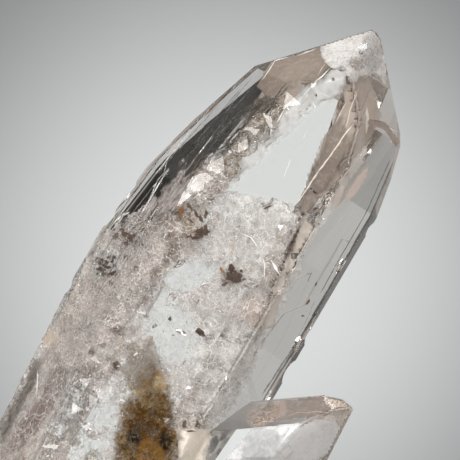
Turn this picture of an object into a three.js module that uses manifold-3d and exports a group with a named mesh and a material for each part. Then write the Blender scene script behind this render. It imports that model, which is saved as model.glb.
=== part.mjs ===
// Quartz crystal pair from the Himalaya: one large tapering crystal that leans to the right, and a
// small one grown into its foot. Both were cut off flat where they grew, and rest on that cut.
// Millimetres, +Z up. The large crystal leans in the XZ plane, and -Y is the side it is looked at from.

import * as THREE from 'three';
import { mergeVertices } from 'three/addons/utils/BufferGeometryUtils.js';
import Module from 'manifold-3d';

const wasm = await Module();
wasm.setup();

// Angle between a rhombohedron face of quartz and the long axis.
const RHOMB = 38.2;

// The large crystal. Heights run along its axis from the point where the axis meets the ground.
const MAIN = {
  lean: 59.5,
  turn: 0,
  root: [0, 0, 0],
  length: 110,
  below: 30,
  faces: [
    { azimuth: -90, reach: 19.0, bends: [] },
    { azimuth: -30, reach: 19.2, bends: [[69.3, 8.8], [76.5, 13.2], [82.4, RHOMB]] },
    { azimuth: -8, reach: 26.0, bends: [[66.0, 27.0]] },
    { azimuth: 30, reach: 15.5, bends: [[69.3, 8.8], [76.5, 13.2], [84.4, RHOMB]] },
    { azimuth: 90, reach: 19.8, bends: [[60.0, 1.2], [88.5, RHOMB]] },
    { azimuth: 100, reach: 20.8, bends: [[42.1, 1.6], [56.4, 4.9], [84.0, RHOMB]] },
    { azimuth: 150, reach: 16.6, bends: [[42.1, 4.7], [56.4, 12.7], [67.6, 15.8], [81.6, RHOMB]] },
    { azimuth: 210, reach: 20.0, bends: [[42.1, 4.7], [56.4, 12.7], [67.6, 15.8], [81.4, RHOMB]] },
  ],
};

// Towards the ground the left side of the large crystal draws in a little again.
const WAIST_HEIGHT = 31.6;
const WAIST_LEAN = -3.0;

// The small crystal, which points to the right and a little towards the front.
const SIDE = {
  lean: 5,
  turn: -12,
  root: [21.0, -7.0, 7.5],
  length: 34,
  below: 12,
  faces: [
    { azimuth: -90, reach: 8.0, bends: [] },
    { azimuth: -30, reach: 5.1, bends: [[14.6, RHOMB]] },
    { azimuth: 30, reach: 10.5, bends: [[15.2, RHOMB]] },
    { azimuth: 90, reach: 8.0, bends: [[19.0, RHOMB]] },
    { azimuth: 150, reach: 7.5, bends: [[23.2, 15.0], [26.5, RHOMB]] },
    { azimuth: 210, reach: 7.6, bends: [[23.2, 15.0], [26.2, RHOMB]] },
  ],
};

// Plates of later growth: the face they lie on, their rise above it, and their outline on it as
// [across, height] corners.
const LEDGES = [
  { azimuth: -90, rise: 0.3, outline: [[-16, -4], [-4, -8], [-1, 6], [-5, 23], [-9, 27], [-16, 19]] },
  { azimuth: -90, rise: 0.25, outline: [[5, 22], [20, 14], [20, 47], [12, 57], [8, 50]] },
  { azimuth: -90, rise: 0.3, outline: [[7.0, 60], [8.6, 57.5], [9.6, 78], [8.4, 82]] },
  { azimuth: -30, rise: 0.3, outline: [[-12, 6], [-4, 1], [-1, 42], [-4, 55], [-12, 49]] },
  { azimuth: 30, rise: 0.4, outline: [[-14, 4], [3, 8], [6, 33], [-2, 50], [-14, 44]] },
  { azimuth: 30, rise: 0.3, outline: [[2, 40], [16, 36], [16, 63], [4, 66]] },
  { azimuth: 90, rise: 0.4, outline: [[-7, 10], [4, 5], [7, 24], [2, 46], [-5, 51], [-8, 30]] },
  { azimuth: 150, rise: 0.35, outline: [[-14, 6], [0, 12], [5, 34], [-3, 47], [-14, 40]] },
  { azimuth: 150, rise: 0.4, outline: [[-2, 50], [10, 46], [8, 70], [1, 74]] },
  { azimuth: 210, rise: 0.25, outline: [[-6.5, 41], [-4.5, 38], [-2.5, 57], [-4, 66]] },
  { azimuth: 210, rise: 0.3, outline: [[-2.5, 36], [0.5, 33], [1.5, 49], [0, 58]] },
  { azimuth: 210, rise: 0.25, outline: [[3.0, 30], [5.5, 28], [6.0, 45], [4.5, 52]] },
];

// Chips along the edges of the large crystal: the two faces that meet there, the heights of the first
// and last chip, how many there are, their radius and how deep they bite.
const EDGE_CHIPS = [
  { faces: [-90, 210], from: 57, to: 87, count: 9, radius: 4.6, bite: 1.5 },
  { faces: [-90, 210], from: 60, to: 84, count: 6, radius: 2.6, bite: 1.9 },
  { faces: [-90, -30], from: 48, to: 80, count: 4, radius: 1.5, bite: 0.35 },
  { faces: [-30, 30], from: 34, to: 80, count: 3, radius: 2.2, bite: 0.35 },
  { faces: [150, 210], from: 24, to: 62, count: 4, radius: 2.6, bite: 0.45 },
  { faces: [30, 90], from: 14, to: 70, count: 4, radius: 1.8, bite: 0.3 },
];

// The broken tip: small curved scars round the ridge where the top faces meet.
const TIP_SCARS = [
  [4.4, -3.2, 101.9, 4.0],
  [-2.0, -4.4, 99.4, 4.2],
  [1.2, 4.6, 100.0, 4.5],
  [4.8, -4.6, 101.2, 3.5],
  [6.8, 1.2, 99.6, 3.5],
  [5.2, -9.2, 98.6, 4.7],
  [-3.8, 3.0, 98.2, 3.6],
  [10.0, -5.4, 96.9, 3.2],
  [2.0, -12.4, 96.4, 3.8],
  [-1.4, -13.6, 93.2, 2.9],
];

// Scars on the small crystal's tip, on its own axis.
const SIDE_SCARS = [
  [-6.6, -5.0, 30.2, 2.6],
  [-3.0, 0.6, 30.9, 3.0],
  [-1.0, -6.2, 29.0, 2.4],
  [-8.6, 1.8, 29.6, 2.4],
];

// Angular bites roughen the lower left of the front, where the crystal grew against its matrix.
const BITE_ROWS = 8;
const BITE_COLUMNS = 4;
const BITE_RADIUS = 1.7;
const BITE_DEPTH = 0.35;
const BITE_FIELD = { across: [-12.0, -1.0], height: [2.0, 44.0] };

// A small yellowish knob of quartz on the left edge.
const KNOB = { at: [-19.0, -2.6, 21.0], size: [1.6, 2.2, 1.9] };

const BIG = 300;
const radians = THREE.MathUtils.degToRad;

// A closed solid from any closed three.js geometry.
function solidFrom(geometry) {
  const bare = geometry.index ? geometry.toNonIndexed() : geometry.clone();
  bare.deleteAttribute('normal');
  bare.deleteAttribute('uv');
  const merged = mergeVertices(bare, 1e-4);
  const mesh = new wasm.Mesh({
    numProp: 3,
    vertProperties: new Float32Array(merged.attributes.position.array),
    triVerts: new Uint32Array(merged.index.array),
  });
  return new wasm.Manifold(mesh);
}

// A block whose lower side lies on the plane through `point` with the outward `normal`.
function blockBeyond(point, normal) {
  const block = new THREE.BoxGeometry(BIG, BIG, BIG);
  block.translate(0, 0, BIG / 2);
  block.applyQuaternion(new THREE.Quaternion().setFromUnitVectors(new THREE.Vector3(0, 0, 1), normal));
  block.translate(point.x, point.y, point.z);
  return solidFrom(block);
}

// Direction from the axis towards a face, and that direction tilted up by the face's lean.
function outward(azimuth, lean) {
  const around = radians(azimuth);
  const up = radians(lean);
  return new THREE.Vector3(Math.cos(around) * Math.cos(up), Math.sin(around) * Math.cos(up), Math.sin(up));
}

function cutFace(body, azimuth, reach, height, lean) {
  const foot = outward(azimuth, 0).multiplyScalar(reach);
  foot.z = height;
  return body.subtract(blockBeyond(foot, outward(azimuth, lean)));
}

// A crystal on its own axis: a block cut by each prism face and by the leaning faces above it, each
// of which starts where the one below ends. `growth` moves every face outwards.
function crystalBody(crystal, growth) {
  const block = new THREE.BoxGeometry(BIG / 3, BIG / 3, crystal.length + crystal.below);
  block.translate(0, 0, (crystal.length - crystal.below) / 2);
  let body = solidFrom(block);
  for (const face of crystal.faces) {
    let reach = face.reach + growth;
    body = cutFace(body, face.azimuth, reach, 0, 0);
    let lastHeight = 0;
    let lastLean = 0;
    for (const [height, lean] of face.bends) {
      reach -= (height - lastHeight) * Math.tan(radians(lastLean));
      body = cutFace(body, face.azimuth, reach, height, lean);
      lastHeight = height;
      lastLean = lean;
    }
  }
  return body;
}

// The part of space in front of one face, inside an outline drawn on that face.
function faceRegion(azimuth, outline) {
  const shape = new THREE.Shape(outline.map(([across, height]) => new THREE.Vector2(across, height)));
  const region = new THREE.ExtrudeGeometry(shape, { depth: BIG / 4, bevelEnabled: false });
  const across = outward(azimuth + 90, 0);
  const up = new THREE.Vector3(0, 0, 1);
  const out = outward(azimuth, 0);
  region.applyMatrix4(new THREE.Matrix4().makeBasis(across, up, out));
  return solidFrom(region);
}

function addLedges(body, crystal) {
  let grown = body;
  for (const ledge of LEDGES) {
    const plate = crystalBody(crystal, ledge.rise).intersect(faceRegion(ledge.azimuth, ledge.outline));
    grown = grown.add(plate);
  }
  return grown;
}

// Distance of a face from the axis at a height.
function reachAt(face, height) {
  let reach = face.reach;
  let lastHeight = 0;
  let lastLean = 0;
  for (const [start, lean] of [...face.bends, [Infinity, 0]]) {
    reach -= (Math.min(start, height) - lastHeight) * Math.tan(radians(lastLean));
    if (start >= height) break;
    lastHeight = start;
    lastLean = lean;
  }
  return reach;
}

// Where two faces meet at a height, and the direction straight out from that edge.
function edgePoint(crystal, azimuths, height) {
  const [first, second] = azimuths.map((azimuth) => crystal.faces.find((face) => face.azimuth === azimuth));
  const a = outward(first.azimuth, 0);
  const b = outward(second.azimuth, 0);
  const [p, q] = [reachAt(first, height), reachAt(second, height)];
  const det = a.x * b.y - a.y * b.x;
  const point = new THREE.Vector3((p * b.y - q * a.y) / det, (a.x * q - b.x * p) / det, height);
  return { point, out: a.add(b).normalize() };
}

// A lump with flat facets, used as a tool for scars and as the knob.
function lump(at, size, detail, spin) {
  const geometry = new THREE.IcosahedronGeometry(1, detail);
  geometry.scale(size[0], size[1], size[2]);
  geometry.rotateZ(spin);
  geometry.rotateX(spin / 2);
  geometry.translate(at[0], at[1], at[2]);
  return solidFrom(geometry);
}

function cutScars(body, scars) {
  let scarred = body;
  scars.forEach(([across, deep, height, radius], index) => {
    const size = [radius, radius * 0.9, radius * 1.25];
    scarred = scarred.subtract(lump([across, deep, height], size, 2, index));
  });
  return scarred;
}

// Rows of chips along edges. Their places, sizes and depths vary a little from chip to chip.
function chipEdges(body, crystal) {
  let chipped = body;
  for (const row of EDGE_CHIPS) {
    for (let chip = 0; chip < row.count; chip += 1) {
      const wobble = Math.sin(chip * 2.3 + row.radius);
      const height = row.from + ((row.to - row.from) * (chip + 0.3 * wobble)) / row.count;
      const radius = row.radius * (1 + 0.2 * wobble);
      const edge = edgePoint(crystal, row.faces, height);
      const at = edge.point.addScaledVector(edge.out, radius - row.bite * (1 + 0.35 * wobble));
      const size = [radius, radius * 1.1, radius * 1.3];
      chipped = chipped.subtract(lump(at.toArray(), size, 1, chip * 1.3));
    }
  }
  return chipped;
}

// Bites in staggered rows on the front face, each a little out of line with the next.
function cutBites(body) {
  const [left, right] = BITE_FIELD.across;
  const [low, high] = BITE_FIELD.height;
  let bitten = body;
  for (let row = 0; row < BITE_ROWS; row += 1) {
    for (let column = 0; column < BITE_COLUMNS; column += 1) {
      const turn = row * 2.4 + column * 1.7;
      const across = left + ((right - left) * (column + 0.5 * (row % 2))) / BITE_COLUMNS + Math.sin(turn);
      const height = low + ((high - low) * row) / BITE_ROWS + 1.5 * Math.cos(turn);
      const radius = BITE_RADIUS * (1 + 0.35 * Math.sin(3 * turn));
      const deep = BITE_DEPTH * (1 + 0.5 * Math.cos(5 * turn)) - MAIN.faces[0].reach - radius;
      bitten = bitten.subtract(lump([across, deep, height], [radius, radius, radius], 0, turn));
    }
  }
  return bitten;
}

// From a crystal's own axis to where it stands.
function placement(crystal) {
  const lean = radians(crystal.lean);
  const axis = new THREE.Vector3(Math.cos(lean), 0, Math.sin(lean));
  const right = new THREE.Vector3(Math.sin(lean), 0, -Math.cos(lean));
  const away = new THREE.Vector3(0, 1, 0);
  const turned = new THREE.Matrix4().makeRotationZ(radians(crystal.turn));
  const leaning = new THREE.Matrix4().makeBasis(right, away, axis);
  return new THREE.Matrix4().makeTranslation(...crystal.root).multiply(turned).multiply(leaning);
}

function mainCrystal() {
  let body = crystalBody(MAIN, 0);
  body = addLedges(body, MAIN);
  for (const azimuth of [150, 210]) {
    const face = MAIN.faces.find((each) => each.azimuth === azimuth);
    body = cutFace(body, azimuth, face.reach, WAIST_HEIGHT, WAIST_LEAN);
  }
  body = body.add(lump(KNOB.at, KNOB.size, 1, 0.4));
  body = chipEdges(body, MAIN);
  body = cutScars(body, TIP_SCARS);
  body = cutBites(body);
  return body.transform(placement(MAIN).elements);
}

function sideCrystal() {
  const body = cutScars(crystalBody(SIDE, 0), SIDE_SCARS);
  return body.transform(placement(SIDE).elements);
}

// Both crystals as one solid, cut off flat at the ground and centred over the origin.
function quartzGeometry() {
  const ground = blockBeyond(new THREE.Vector3(0, 0, 0), new THREE.Vector3(0, 0, -1));
  const whole = mainCrystal().add(sideCrystal()).subtract(ground);
  const mesh = whole.getMesh();
  const geometry = new THREE.BufferGeometry();
  geometry.setAttribute('position', new THREE.BufferAttribute(new Float32Array(mesh.vertProperties), 3));
  geometry.setIndex(new THREE.BufferAttribute(new Uint32Array(mesh.triVerts), 1));
  geometry.computeBoundingBox();
  const centre = geometry.boundingBox.getCenter(new THREE.Vector3());
  geometry.translate(-centre.x, -centre.y, 0);
  geometry.computeVertexNormals();
  return geometry;
}

const clearQuartz = new THREE.MeshStandardMaterial({ color: 0xcfd2cd, roughness: 0.08, metalness: 0 });

const group = new THREE.Group();
const quartz = new THREE.Mesh(quartzGeometry(), clearQuartz);
quartz.name = 'quartz_crystal';
group.add(quartz);

export default group;
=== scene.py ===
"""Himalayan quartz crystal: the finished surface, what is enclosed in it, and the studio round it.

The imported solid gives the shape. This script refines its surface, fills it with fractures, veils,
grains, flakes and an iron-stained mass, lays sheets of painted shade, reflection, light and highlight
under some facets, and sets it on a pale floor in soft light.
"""
from __future__ import annotations

import logging
import math
import random
from dataclasses import dataclass
from enum import Enum
from typing import Sequence

import bmesh
import bpy
from mathutils import Matrix, Vector, noise
from mathutils.bvhtree import BVHTree

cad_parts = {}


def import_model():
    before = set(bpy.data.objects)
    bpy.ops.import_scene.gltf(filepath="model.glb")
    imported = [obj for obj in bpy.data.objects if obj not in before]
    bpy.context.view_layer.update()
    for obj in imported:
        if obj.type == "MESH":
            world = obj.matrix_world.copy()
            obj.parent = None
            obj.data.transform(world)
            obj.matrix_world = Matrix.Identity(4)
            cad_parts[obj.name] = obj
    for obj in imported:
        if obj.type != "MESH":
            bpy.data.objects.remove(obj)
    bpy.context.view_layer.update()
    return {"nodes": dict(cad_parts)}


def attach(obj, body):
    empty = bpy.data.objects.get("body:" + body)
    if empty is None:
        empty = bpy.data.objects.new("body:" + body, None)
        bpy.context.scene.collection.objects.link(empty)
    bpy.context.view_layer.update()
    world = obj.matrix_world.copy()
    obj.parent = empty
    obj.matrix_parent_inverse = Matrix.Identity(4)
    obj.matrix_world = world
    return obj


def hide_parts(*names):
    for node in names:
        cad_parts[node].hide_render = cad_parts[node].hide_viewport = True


LOG = logging.getLogger("quartz")
MM = 0.001
NODE = "quartz_crystal"
BODY = "root"
QUARTZ_IOR = 1.544
ICOSPHERE_CORNERS = 12
FULL_TURN = math.tau

Colour = tuple[float, float, float]
Pixel = tuple[float, float]


class Slot(Enum):
    """Names of material groups, which some pieces carry as a field."""

    QUARTZ = "clear_quartz"
    VEIL = "milky_veil"
    IRON = "iron_stain"
    DARK = "dark_mineral"


@dataclass(frozen=True)
class PhotoFrame:
    """Where a pixel of the 460 by 460 photograph lies in the object's own frame."""

    pixels: float = 460.0
    pixels_per_mm: float = 5.6
    ground_row: float = 495.0
    foot_column: float = 82.5
    foot_x_mm: float = -17.53
    distance_mm: float = 900.0

    def point(self, column: float, row: float, depth_mm: float = 0.0) -> Vector:
        """A point on the upright plane at a depth.

        Args:
            column: pixels from the left.
            row: pixels from the top.
            depth_mm: how far behind the middle of the crystal the plane lies.

        Returns:
            The point in metres.
        """
        x = self.foot_x_mm + (column - self.foot_column) / self.pixels_per_mm
        z = (self.ground_row - row) / self.pixels_per_mm
        return Vector((x * MM, depth_mm * MM, z * MM))

    def eye(self) -> Vector:
        """Where the photograph is taken from."""
        return self.point(self.pixels / 2, self.pixels / 2, -self.distance_mm)


@dataclass(frozen=True)
class CrystalAxis:
    """The large crystal's own axes: u across to the lower right, v away, w along it to the tip."""

    lean_deg: float = 59.5
    foot: tuple[float, float, float] = (-17.53 * MM, -0.45 * MM, 0.0)

    def matrix(self) -> Matrix:
        """The turn and move from the crystal's axes to the object's frame.

        Returns:
            The matrix, for places in metres.
        """
        lean = math.radians(self.lean_deg)
        across = Vector((math.sin(lean), 0.0, -math.cos(lean)))
        along = Vector((math.cos(lean), 0.0, math.sin(lean)))
        turn = Matrix((across, Vector((0.0, 1.0, 0.0)), along)).transposed().to_4x4()
        return Matrix.Translation(self.foot) @ turn


PHOTO = PhotoFrame()
AXIS = CrystalAxis()
AXIS_TURN_DEG = AXIS.lean_deg - 90.0
PROBE_WAY = Vector((0.21, 0.35, 0.91)).normalized()


@dataclass(frozen=True)
class Hit:
    """Where a line of sight enters the quartz, and its way on inside."""

    at: Vector
    way: Vector


class Sight:
    """Lines of sight of the photograph, bent where they enter the quartz."""

    def __init__(self, node: bpy.types.Object) -> None:
        """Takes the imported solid.

        Args:
            node: the solid whose surface bends the lines of sight.
        """
        mesh = bmesh.new()
        mesh.from_mesh(node.data)
        self.tree = BVHTree.FromBMesh(mesh)
        mesh.free()

    def enter(self, column: float, row: float) -> Hit | None:
        """Where the line of sight of a pixel enters the quartz.

        Args:
            column: pixels from the left.
            row: pixels from the top.

        Returns:
            The place and the way on inside, or None beside the crystal.
        """
        eye = PHOTO.eye()
        way = (PHOTO.point(column, row) - eye).normalized()
        at, normal, _, _ = self.tree.ray_cast(eye, way)
        if at is None:
            return None
        ratio = 1.0 / QUARTZ_IOR
        cosine = max(0.0, -way.dot(normal))
        bend = ratio * cosine - math.sqrt(1.0 - ratio * ratio * (1.0 - cosine * cosine))
        return Hit(at, (way * ratio + normal * bend).normalized())

    def point(self, column: float, row: float, depth_mm: float, margin_mm: float = 0.25) -> Vector | None:
        """The point seen at a pixel, at a depth below the surface.

        Args:
            column: pixels from the left.
            row: pixels from the top.
            depth_mm: length of the way inside the quartz.
            margin_mm: least distance that the point keeps from the surface.

        Returns:
            The point in metres, or None where it would lie outside.
        """
        hit = self.enter(column, row)
        if hit is None:
            return None
        point = hit.at + hit.way * (depth_mm * MM)
        return point if self.inside(point, margin_mm) else None

    def inside(self, point: Vector, margin_mm: float) -> bool:
        """Whether a point lies inside the quartz and keeps a margin from its surface.

        Args:
            point: the point in metres.
            margin_mm: least distance from the surface.

        Returns:
            True where the surface is met from inside and is far enough away.
        """
        _, met, _, _ = self.tree.ray_cast(point, PROBE_WAY)
        if met is None or met.dot(PROBE_WAY) <= 0.0:
            return False
        nearest, normal, _, distance = self.tree.find_nearest(point)
        return (point - nearest).dot(normal) < 0.0 and distance > margin_mm * MM


class Shader:
    """A small builder for node trees."""

    def __init__(self, tree: bpy.types.NodeTree) -> None:
        """Starts with an empty tree.

        Args:
            tree: the node tree of a material or of the studio.
        """
        self.tree = tree
        tree.nodes.clear()

    def node(self, kind: str, inputs: dict | None = None, **settings: object) -> bpy.types.Node:
        """Adds a node.

        Args:
            kind: the node type without its ShaderNode prefix.
            inputs: socket name or number to a value, or to a socket to link from.
            settings: attributes of the node.

        Returns:
            The node.
        """
        made = self.tree.nodes.new(f"ShaderNode{kind}")
        for name, value in settings.items():
            setattr(made, name, value)
        for name, value in (inputs or {}).items():
            socket = made.inputs[name]
            if isinstance(value, bpy.types.NodeSocket):
                self.tree.links.new(value, socket)
            else:
                socket.default_value = value
        return made

    def noise(self, where: bpy.types.NodeSocket, scale: float, detail: float = 3.0,
              rough: float = 0.55, warp: float = 0.0) -> bpy.types.NodeSocket:
        """The value of a noise texture."""
        made = self.node("TexNoise", {"Vector": where, "Scale": scale, "Detail": detail,
                                      "Roughness": rough, "Distortion": warp})
        return made.outputs["Fac"]

    def span(self, value: bpy.types.NodeSocket, low: float, high: float,
             to_low: float = 0.0, to_high: float = 1.0) -> bpy.types.NodeSocket:
        """A value taken smoothly from one range to another."""
        made = self.node("MapRange", {"Value": value, "From Min": low, "From Max": high,
                                      "To Min": to_low, "To Max": to_high},
                         interpolation_type="SMOOTHSTEP")
        return made.outputs["Result"]

    def math(self, kind: str, *values: object) -> bpy.types.NodeSocket:
        """The result of one sum on numbers or sockets."""
        made = self.node("Math", dict(enumerate(values)), operation=kind)
        return made.outputs["Value"]

    def mix(self, share: object, a: object, b: object, blend: str = "MIX") -> bpy.types.NodeSocket:
        """A blend of two colours.

        Args:
            share: how much of the second colour shows, as a number or a socket.
            a: the first colour or its socket.
            b: the second colour or its socket.
            blend: how the second colour is laid over the first.

        Returns:
            The colour socket.
        """
        made = self.node("Mix", {"Factor": share}, data_type="RGBA", blend_type=blend)
        for name, value in (("A", a), ("B", b)):
            socket = next(s for s in made.inputs if s.name == name and s.type == "RGBA")
            if isinstance(value, bpy.types.NodeSocket):
                self.tree.links.new(value, socket)
            else:
                socket.default_value = (*value, 1.0)
        return next(s for s in made.outputs if s.type == "RGBA")


def in_millimetres(shader: Shader, stretch: Sequence[float] = (1.0, 1.0, 1.0),
                   turn_deg: float = 0.0) -> bpy.types.NodeSocket:
    """Object coordinates in millimetres.

    Args:
        shader: the tree to build in.
        stretch: extra scale along each axis.
        turn_deg: turn about the Y axis, in degrees.

    Returns:
        The vector socket.
    """
    source = shader.node("TexCoord").outputs["Object"]
    turned = shader.node("Mapping", {"Vector": source, "Rotation": (0.0, math.radians(turn_deg), 0.0)})
    scaled = shader.node("VectorMath", {0: turned.outputs["Vector"], 1: tuple(s / MM for s in stretch)},
                         operation="MULTIPLY")
    return scaled.outputs["Vector"]


def new_material(name: str) -> tuple[bpy.types.Material, Shader]:
    """An empty node material and its builder.

    Args:
        name: the material's name.

    Returns:
        The material and the builder of its tree.
    """
    material = bpy.data.materials.new(name)
    material.use_nodes = True
    return material, Shader(material.node_tree)


@dataclass(frozen=True)
class QuartzFinish:
    """Clear quartz: plain transmission, with faint frosting and growth lines."""

    absorption: Colour = (0.93, 0.90, 0.87)
    density: float = 8.0
    frost: float = 0.04
    growth_relief: float = 0.05

    def build(self) -> bpy.types.Material:
        """Makes the material.

        Returns:
            The material.
        """
        material, shader = new_material("clear_quartz")
        where = in_millimetres(shader)
        lines = in_millimetres(shader, (0.10, 0.10, 1.0), AXIS_TURN_DEG)
        frost = shader.span(shader.noise(where, 0.12, 4.0), 0.55, 0.75, 0.0, self.frost)
        growth = shader.noise(lines, 1.3, 2.0)
        bump = shader.node("Bump", {"Height": growth, "Strength": self.growth_relief, "Distance": 0.0002})
        glass = shader.node("BsdfPrincipled", {"Base Color": (1.0, 1.0, 1.0, 1.0), "Roughness": frost,
                                               "Normal": bump.outputs["Normal"]})
        glass.inputs["Transmission Weight"].default_value = 1.0
        glass.inputs["IOR"].default_value = QUARTZ_IOR
        inside = shader.node("VolumeAbsorption")
        inside.inputs["Color"].default_value = (*self.absorption, 1.0)
        inside.inputs["Density"].default_value = self.density
        shader.node("OutputMaterial", {"Surface": glass.outputs["BSDF"],
                                       "Volume": inside.outputs["Volume"]})
        return material


@dataclass(frozen=True)
class VeilFinish:
    """A veil whose colour and cover come from the sheet, broken up by fine grain."""

    name: str
    grain: float = 1.9
    speck: float = 0.75
    mottle: float = 0.5
    relief: float = 0.7
    roughness: float = 0.5
    light: Colour = (0.96, 0.95, 0.93)
    cracks: float = 0.0
    crack_scale: float = 0.45
    gloss: float = 0.25
    fibre: float = 1.0
    warp: float = 0.8

    def build(self) -> bpy.types.Material:
        """Makes the material.

        Returns:
            The material.
        """
        material, shader = new_material(self.name)
        painted = shader.node("Attribute", attribute_name="tone")
        where = in_millimetres(shader)
        along = in_millimetres(shader, (1.0, 1.0, self.fibre), AXIS_TURN_DEG)
        grain = shader.noise(along, self.grain, 4.0, 0.68, self.warp)
        cloud = shader.noise(where, 0.35, 4.0, 0.6)
        dim = shader.span(grain, 0.49, 0.60, 1.0, 1.0 - 0.75 * self.mottle)
        grey = shader.node("CombineColor", {"Red": dim, "Green": dim, "Blue": dim})
        tone = shader.mix(1.0, painted.outputs["Color"], grey.outputs["Color"], "MULTIPLY")
        bright = shader.span(grain, 0.465, 0.41, 0.0, self.mottle)
        tone = shader.mix(bright, tone, self.light)
        broken = shader.math("MULTIPLY", shader.span(grain, 0.34, 0.60, 1.0 - self.speck, 1.0),
                             shader.span(cloud, 0.36, 0.56, 1.0 - 0.7 * self.speck, 1.0))
        if self.cracks > 0.0:
            line = self.crack_lines(shader, where)
            tone = shader.mix(line, tone, (0.97, 0.96, 0.94))
            broken = shader.math("MAXIMUM", broken, line)
        cover = shader.math("MULTIPLY", painted.outputs["Alpha"], broken)
        bump = shader.node("Bump", {"Height": grain, "Strength": self.relief, "Distance": 0.0004})
        surface = shader.node("BsdfPrincipled", {"Base Color": tone, "Alpha": cover,
                                                 "Normal": bump.outputs["Normal"]})
        surface.inputs["Roughness"].default_value = self.roughness
        surface.inputs["Specular IOR Level"].default_value = self.gloss
        shader.node("OutputMaterial", {"Surface": surface.outputs["BSDF"]})
        return material

    def crack_lines(self, shader: Shader, where: bpy.types.NodeSocket) -> bpy.types.NodeSocket:
        """Fine curved crack lines.

        Args:
            shader: the tree to build in.
            where: the place in millimetres.

        Returns:
            A socket that runs from 0 beside the lines to their strength on them.
        """
        drift = shader.node("TexNoise", {"Vector": where, "Scale": 0.5, "Detail": 2.0}).outputs["Color"]
        bent = shader.node("VectorMath", {0: drift, 1: (2.6, 2.6, 2.6), 2: where}, operation="MULTIPLY_ADD")
        cells = shader.node("TexVoronoi", {"Vector": bent.outputs["Vector"], "Scale": self.crack_scale},
                            feature="DISTANCE_TO_EDGE")
        return shader.span(cells.outputs["Distance"], 0.05, 0.012, 0.0, self.cracks)


@dataclass(frozen=True)
class MineralFinish:
    """An enclosed mineral, mottled between three colours."""

    name: str
    colours: tuple[Colour, Colour, Colour]
    scale: float = 1.2
    roughness: float = 0.45
    cover: float = 1.0

    def build(self) -> bpy.types.Material:
        """Makes the material.

        Returns:
            The material.
        """
        material, shader = new_material(self.name)
        where = in_millimetres(shader)
        broad = shader.noise(where, self.scale, 3.0)
        fine = shader.noise(where, self.scale * 4.0, 2.0)
        tone = shader.mix(shader.span(broad, 0.42, 0.58), self.colours[0], self.colours[1])
        tone = shader.mix(shader.span(fine, 0.52, 0.66), tone, self.colours[2])
        bump = shader.node("Bump", {"Height": fine, "Strength": 0.5, "Distance": 0.0002})
        surface = shader.node("BsdfPrincipled", {"Base Color": tone, "Normal": bump.outputs["Normal"]})
        surface.inputs["Roughness"].default_value = self.roughness
        surface.inputs["Alpha"].default_value = self.cover
        shader.node("OutputMaterial", {"Surface": surface.outputs["BSDF"]})
        return material


def mesh_from(mesh: bmesh.types.BMesh, name: str) -> bpy.types.Mesh:
    """Ends a bmesh and gives its plain mesh.

    Args:
        mesh: the bmesh, which is freed.
        name: the plain mesh's name.

    Returns:
        The plain mesh.
    """
    data = bpy.data.meshes.new(name)
    mesh.to_mesh(data)
    mesh.free()
    return data


def new_piece(name: str, mesh: bpy.types.Mesh, material: bpy.types.Material) -> bpy.types.Object:
    """Makes a piece of the specimen from a mesh.

    Args:
        name: the piece's name.
        mesh: its mesh, in the object's frame.
        material: its finish.

    Returns:
        The object, riding on the specimen's body.
    """
    mesh.name = name
    mesh.materials.clear()
    mesh.materials.append(material)
    piece = bpy.data.objects.new(name, mesh)
    bpy.context.scene.collection.objects.link(piece)
    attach(piece, BODY)
    LOG.info("%s: %d faces", name, len(mesh.polygons))
    return piece


@dataclass(frozen=True)
class RoughPatch:
    """Where the surface is rough: an ellipsoid on the crystal's axes, in millimetres."""

    centre: tuple[float, float, float]
    radius: tuple[float, float, float]
    strength: float

    def share(self, local: Vector) -> float:
        """How rough the surface is at a point.

        Args:
            local: the point on the crystal's axes, in metres.

        Returns:
            From 0 to the strength.
        """
        span = math.sqrt(sum(((local[i] / MM - self.centre[i]) / self.radius[i]) ** 2 for i in range(3)))
        ragged = 0.25 * noise.noise(local / MM * 0.25)
        return self.strength * min(1.0, max(0.0, (1.15 - span + ragged) / 0.3))


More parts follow.
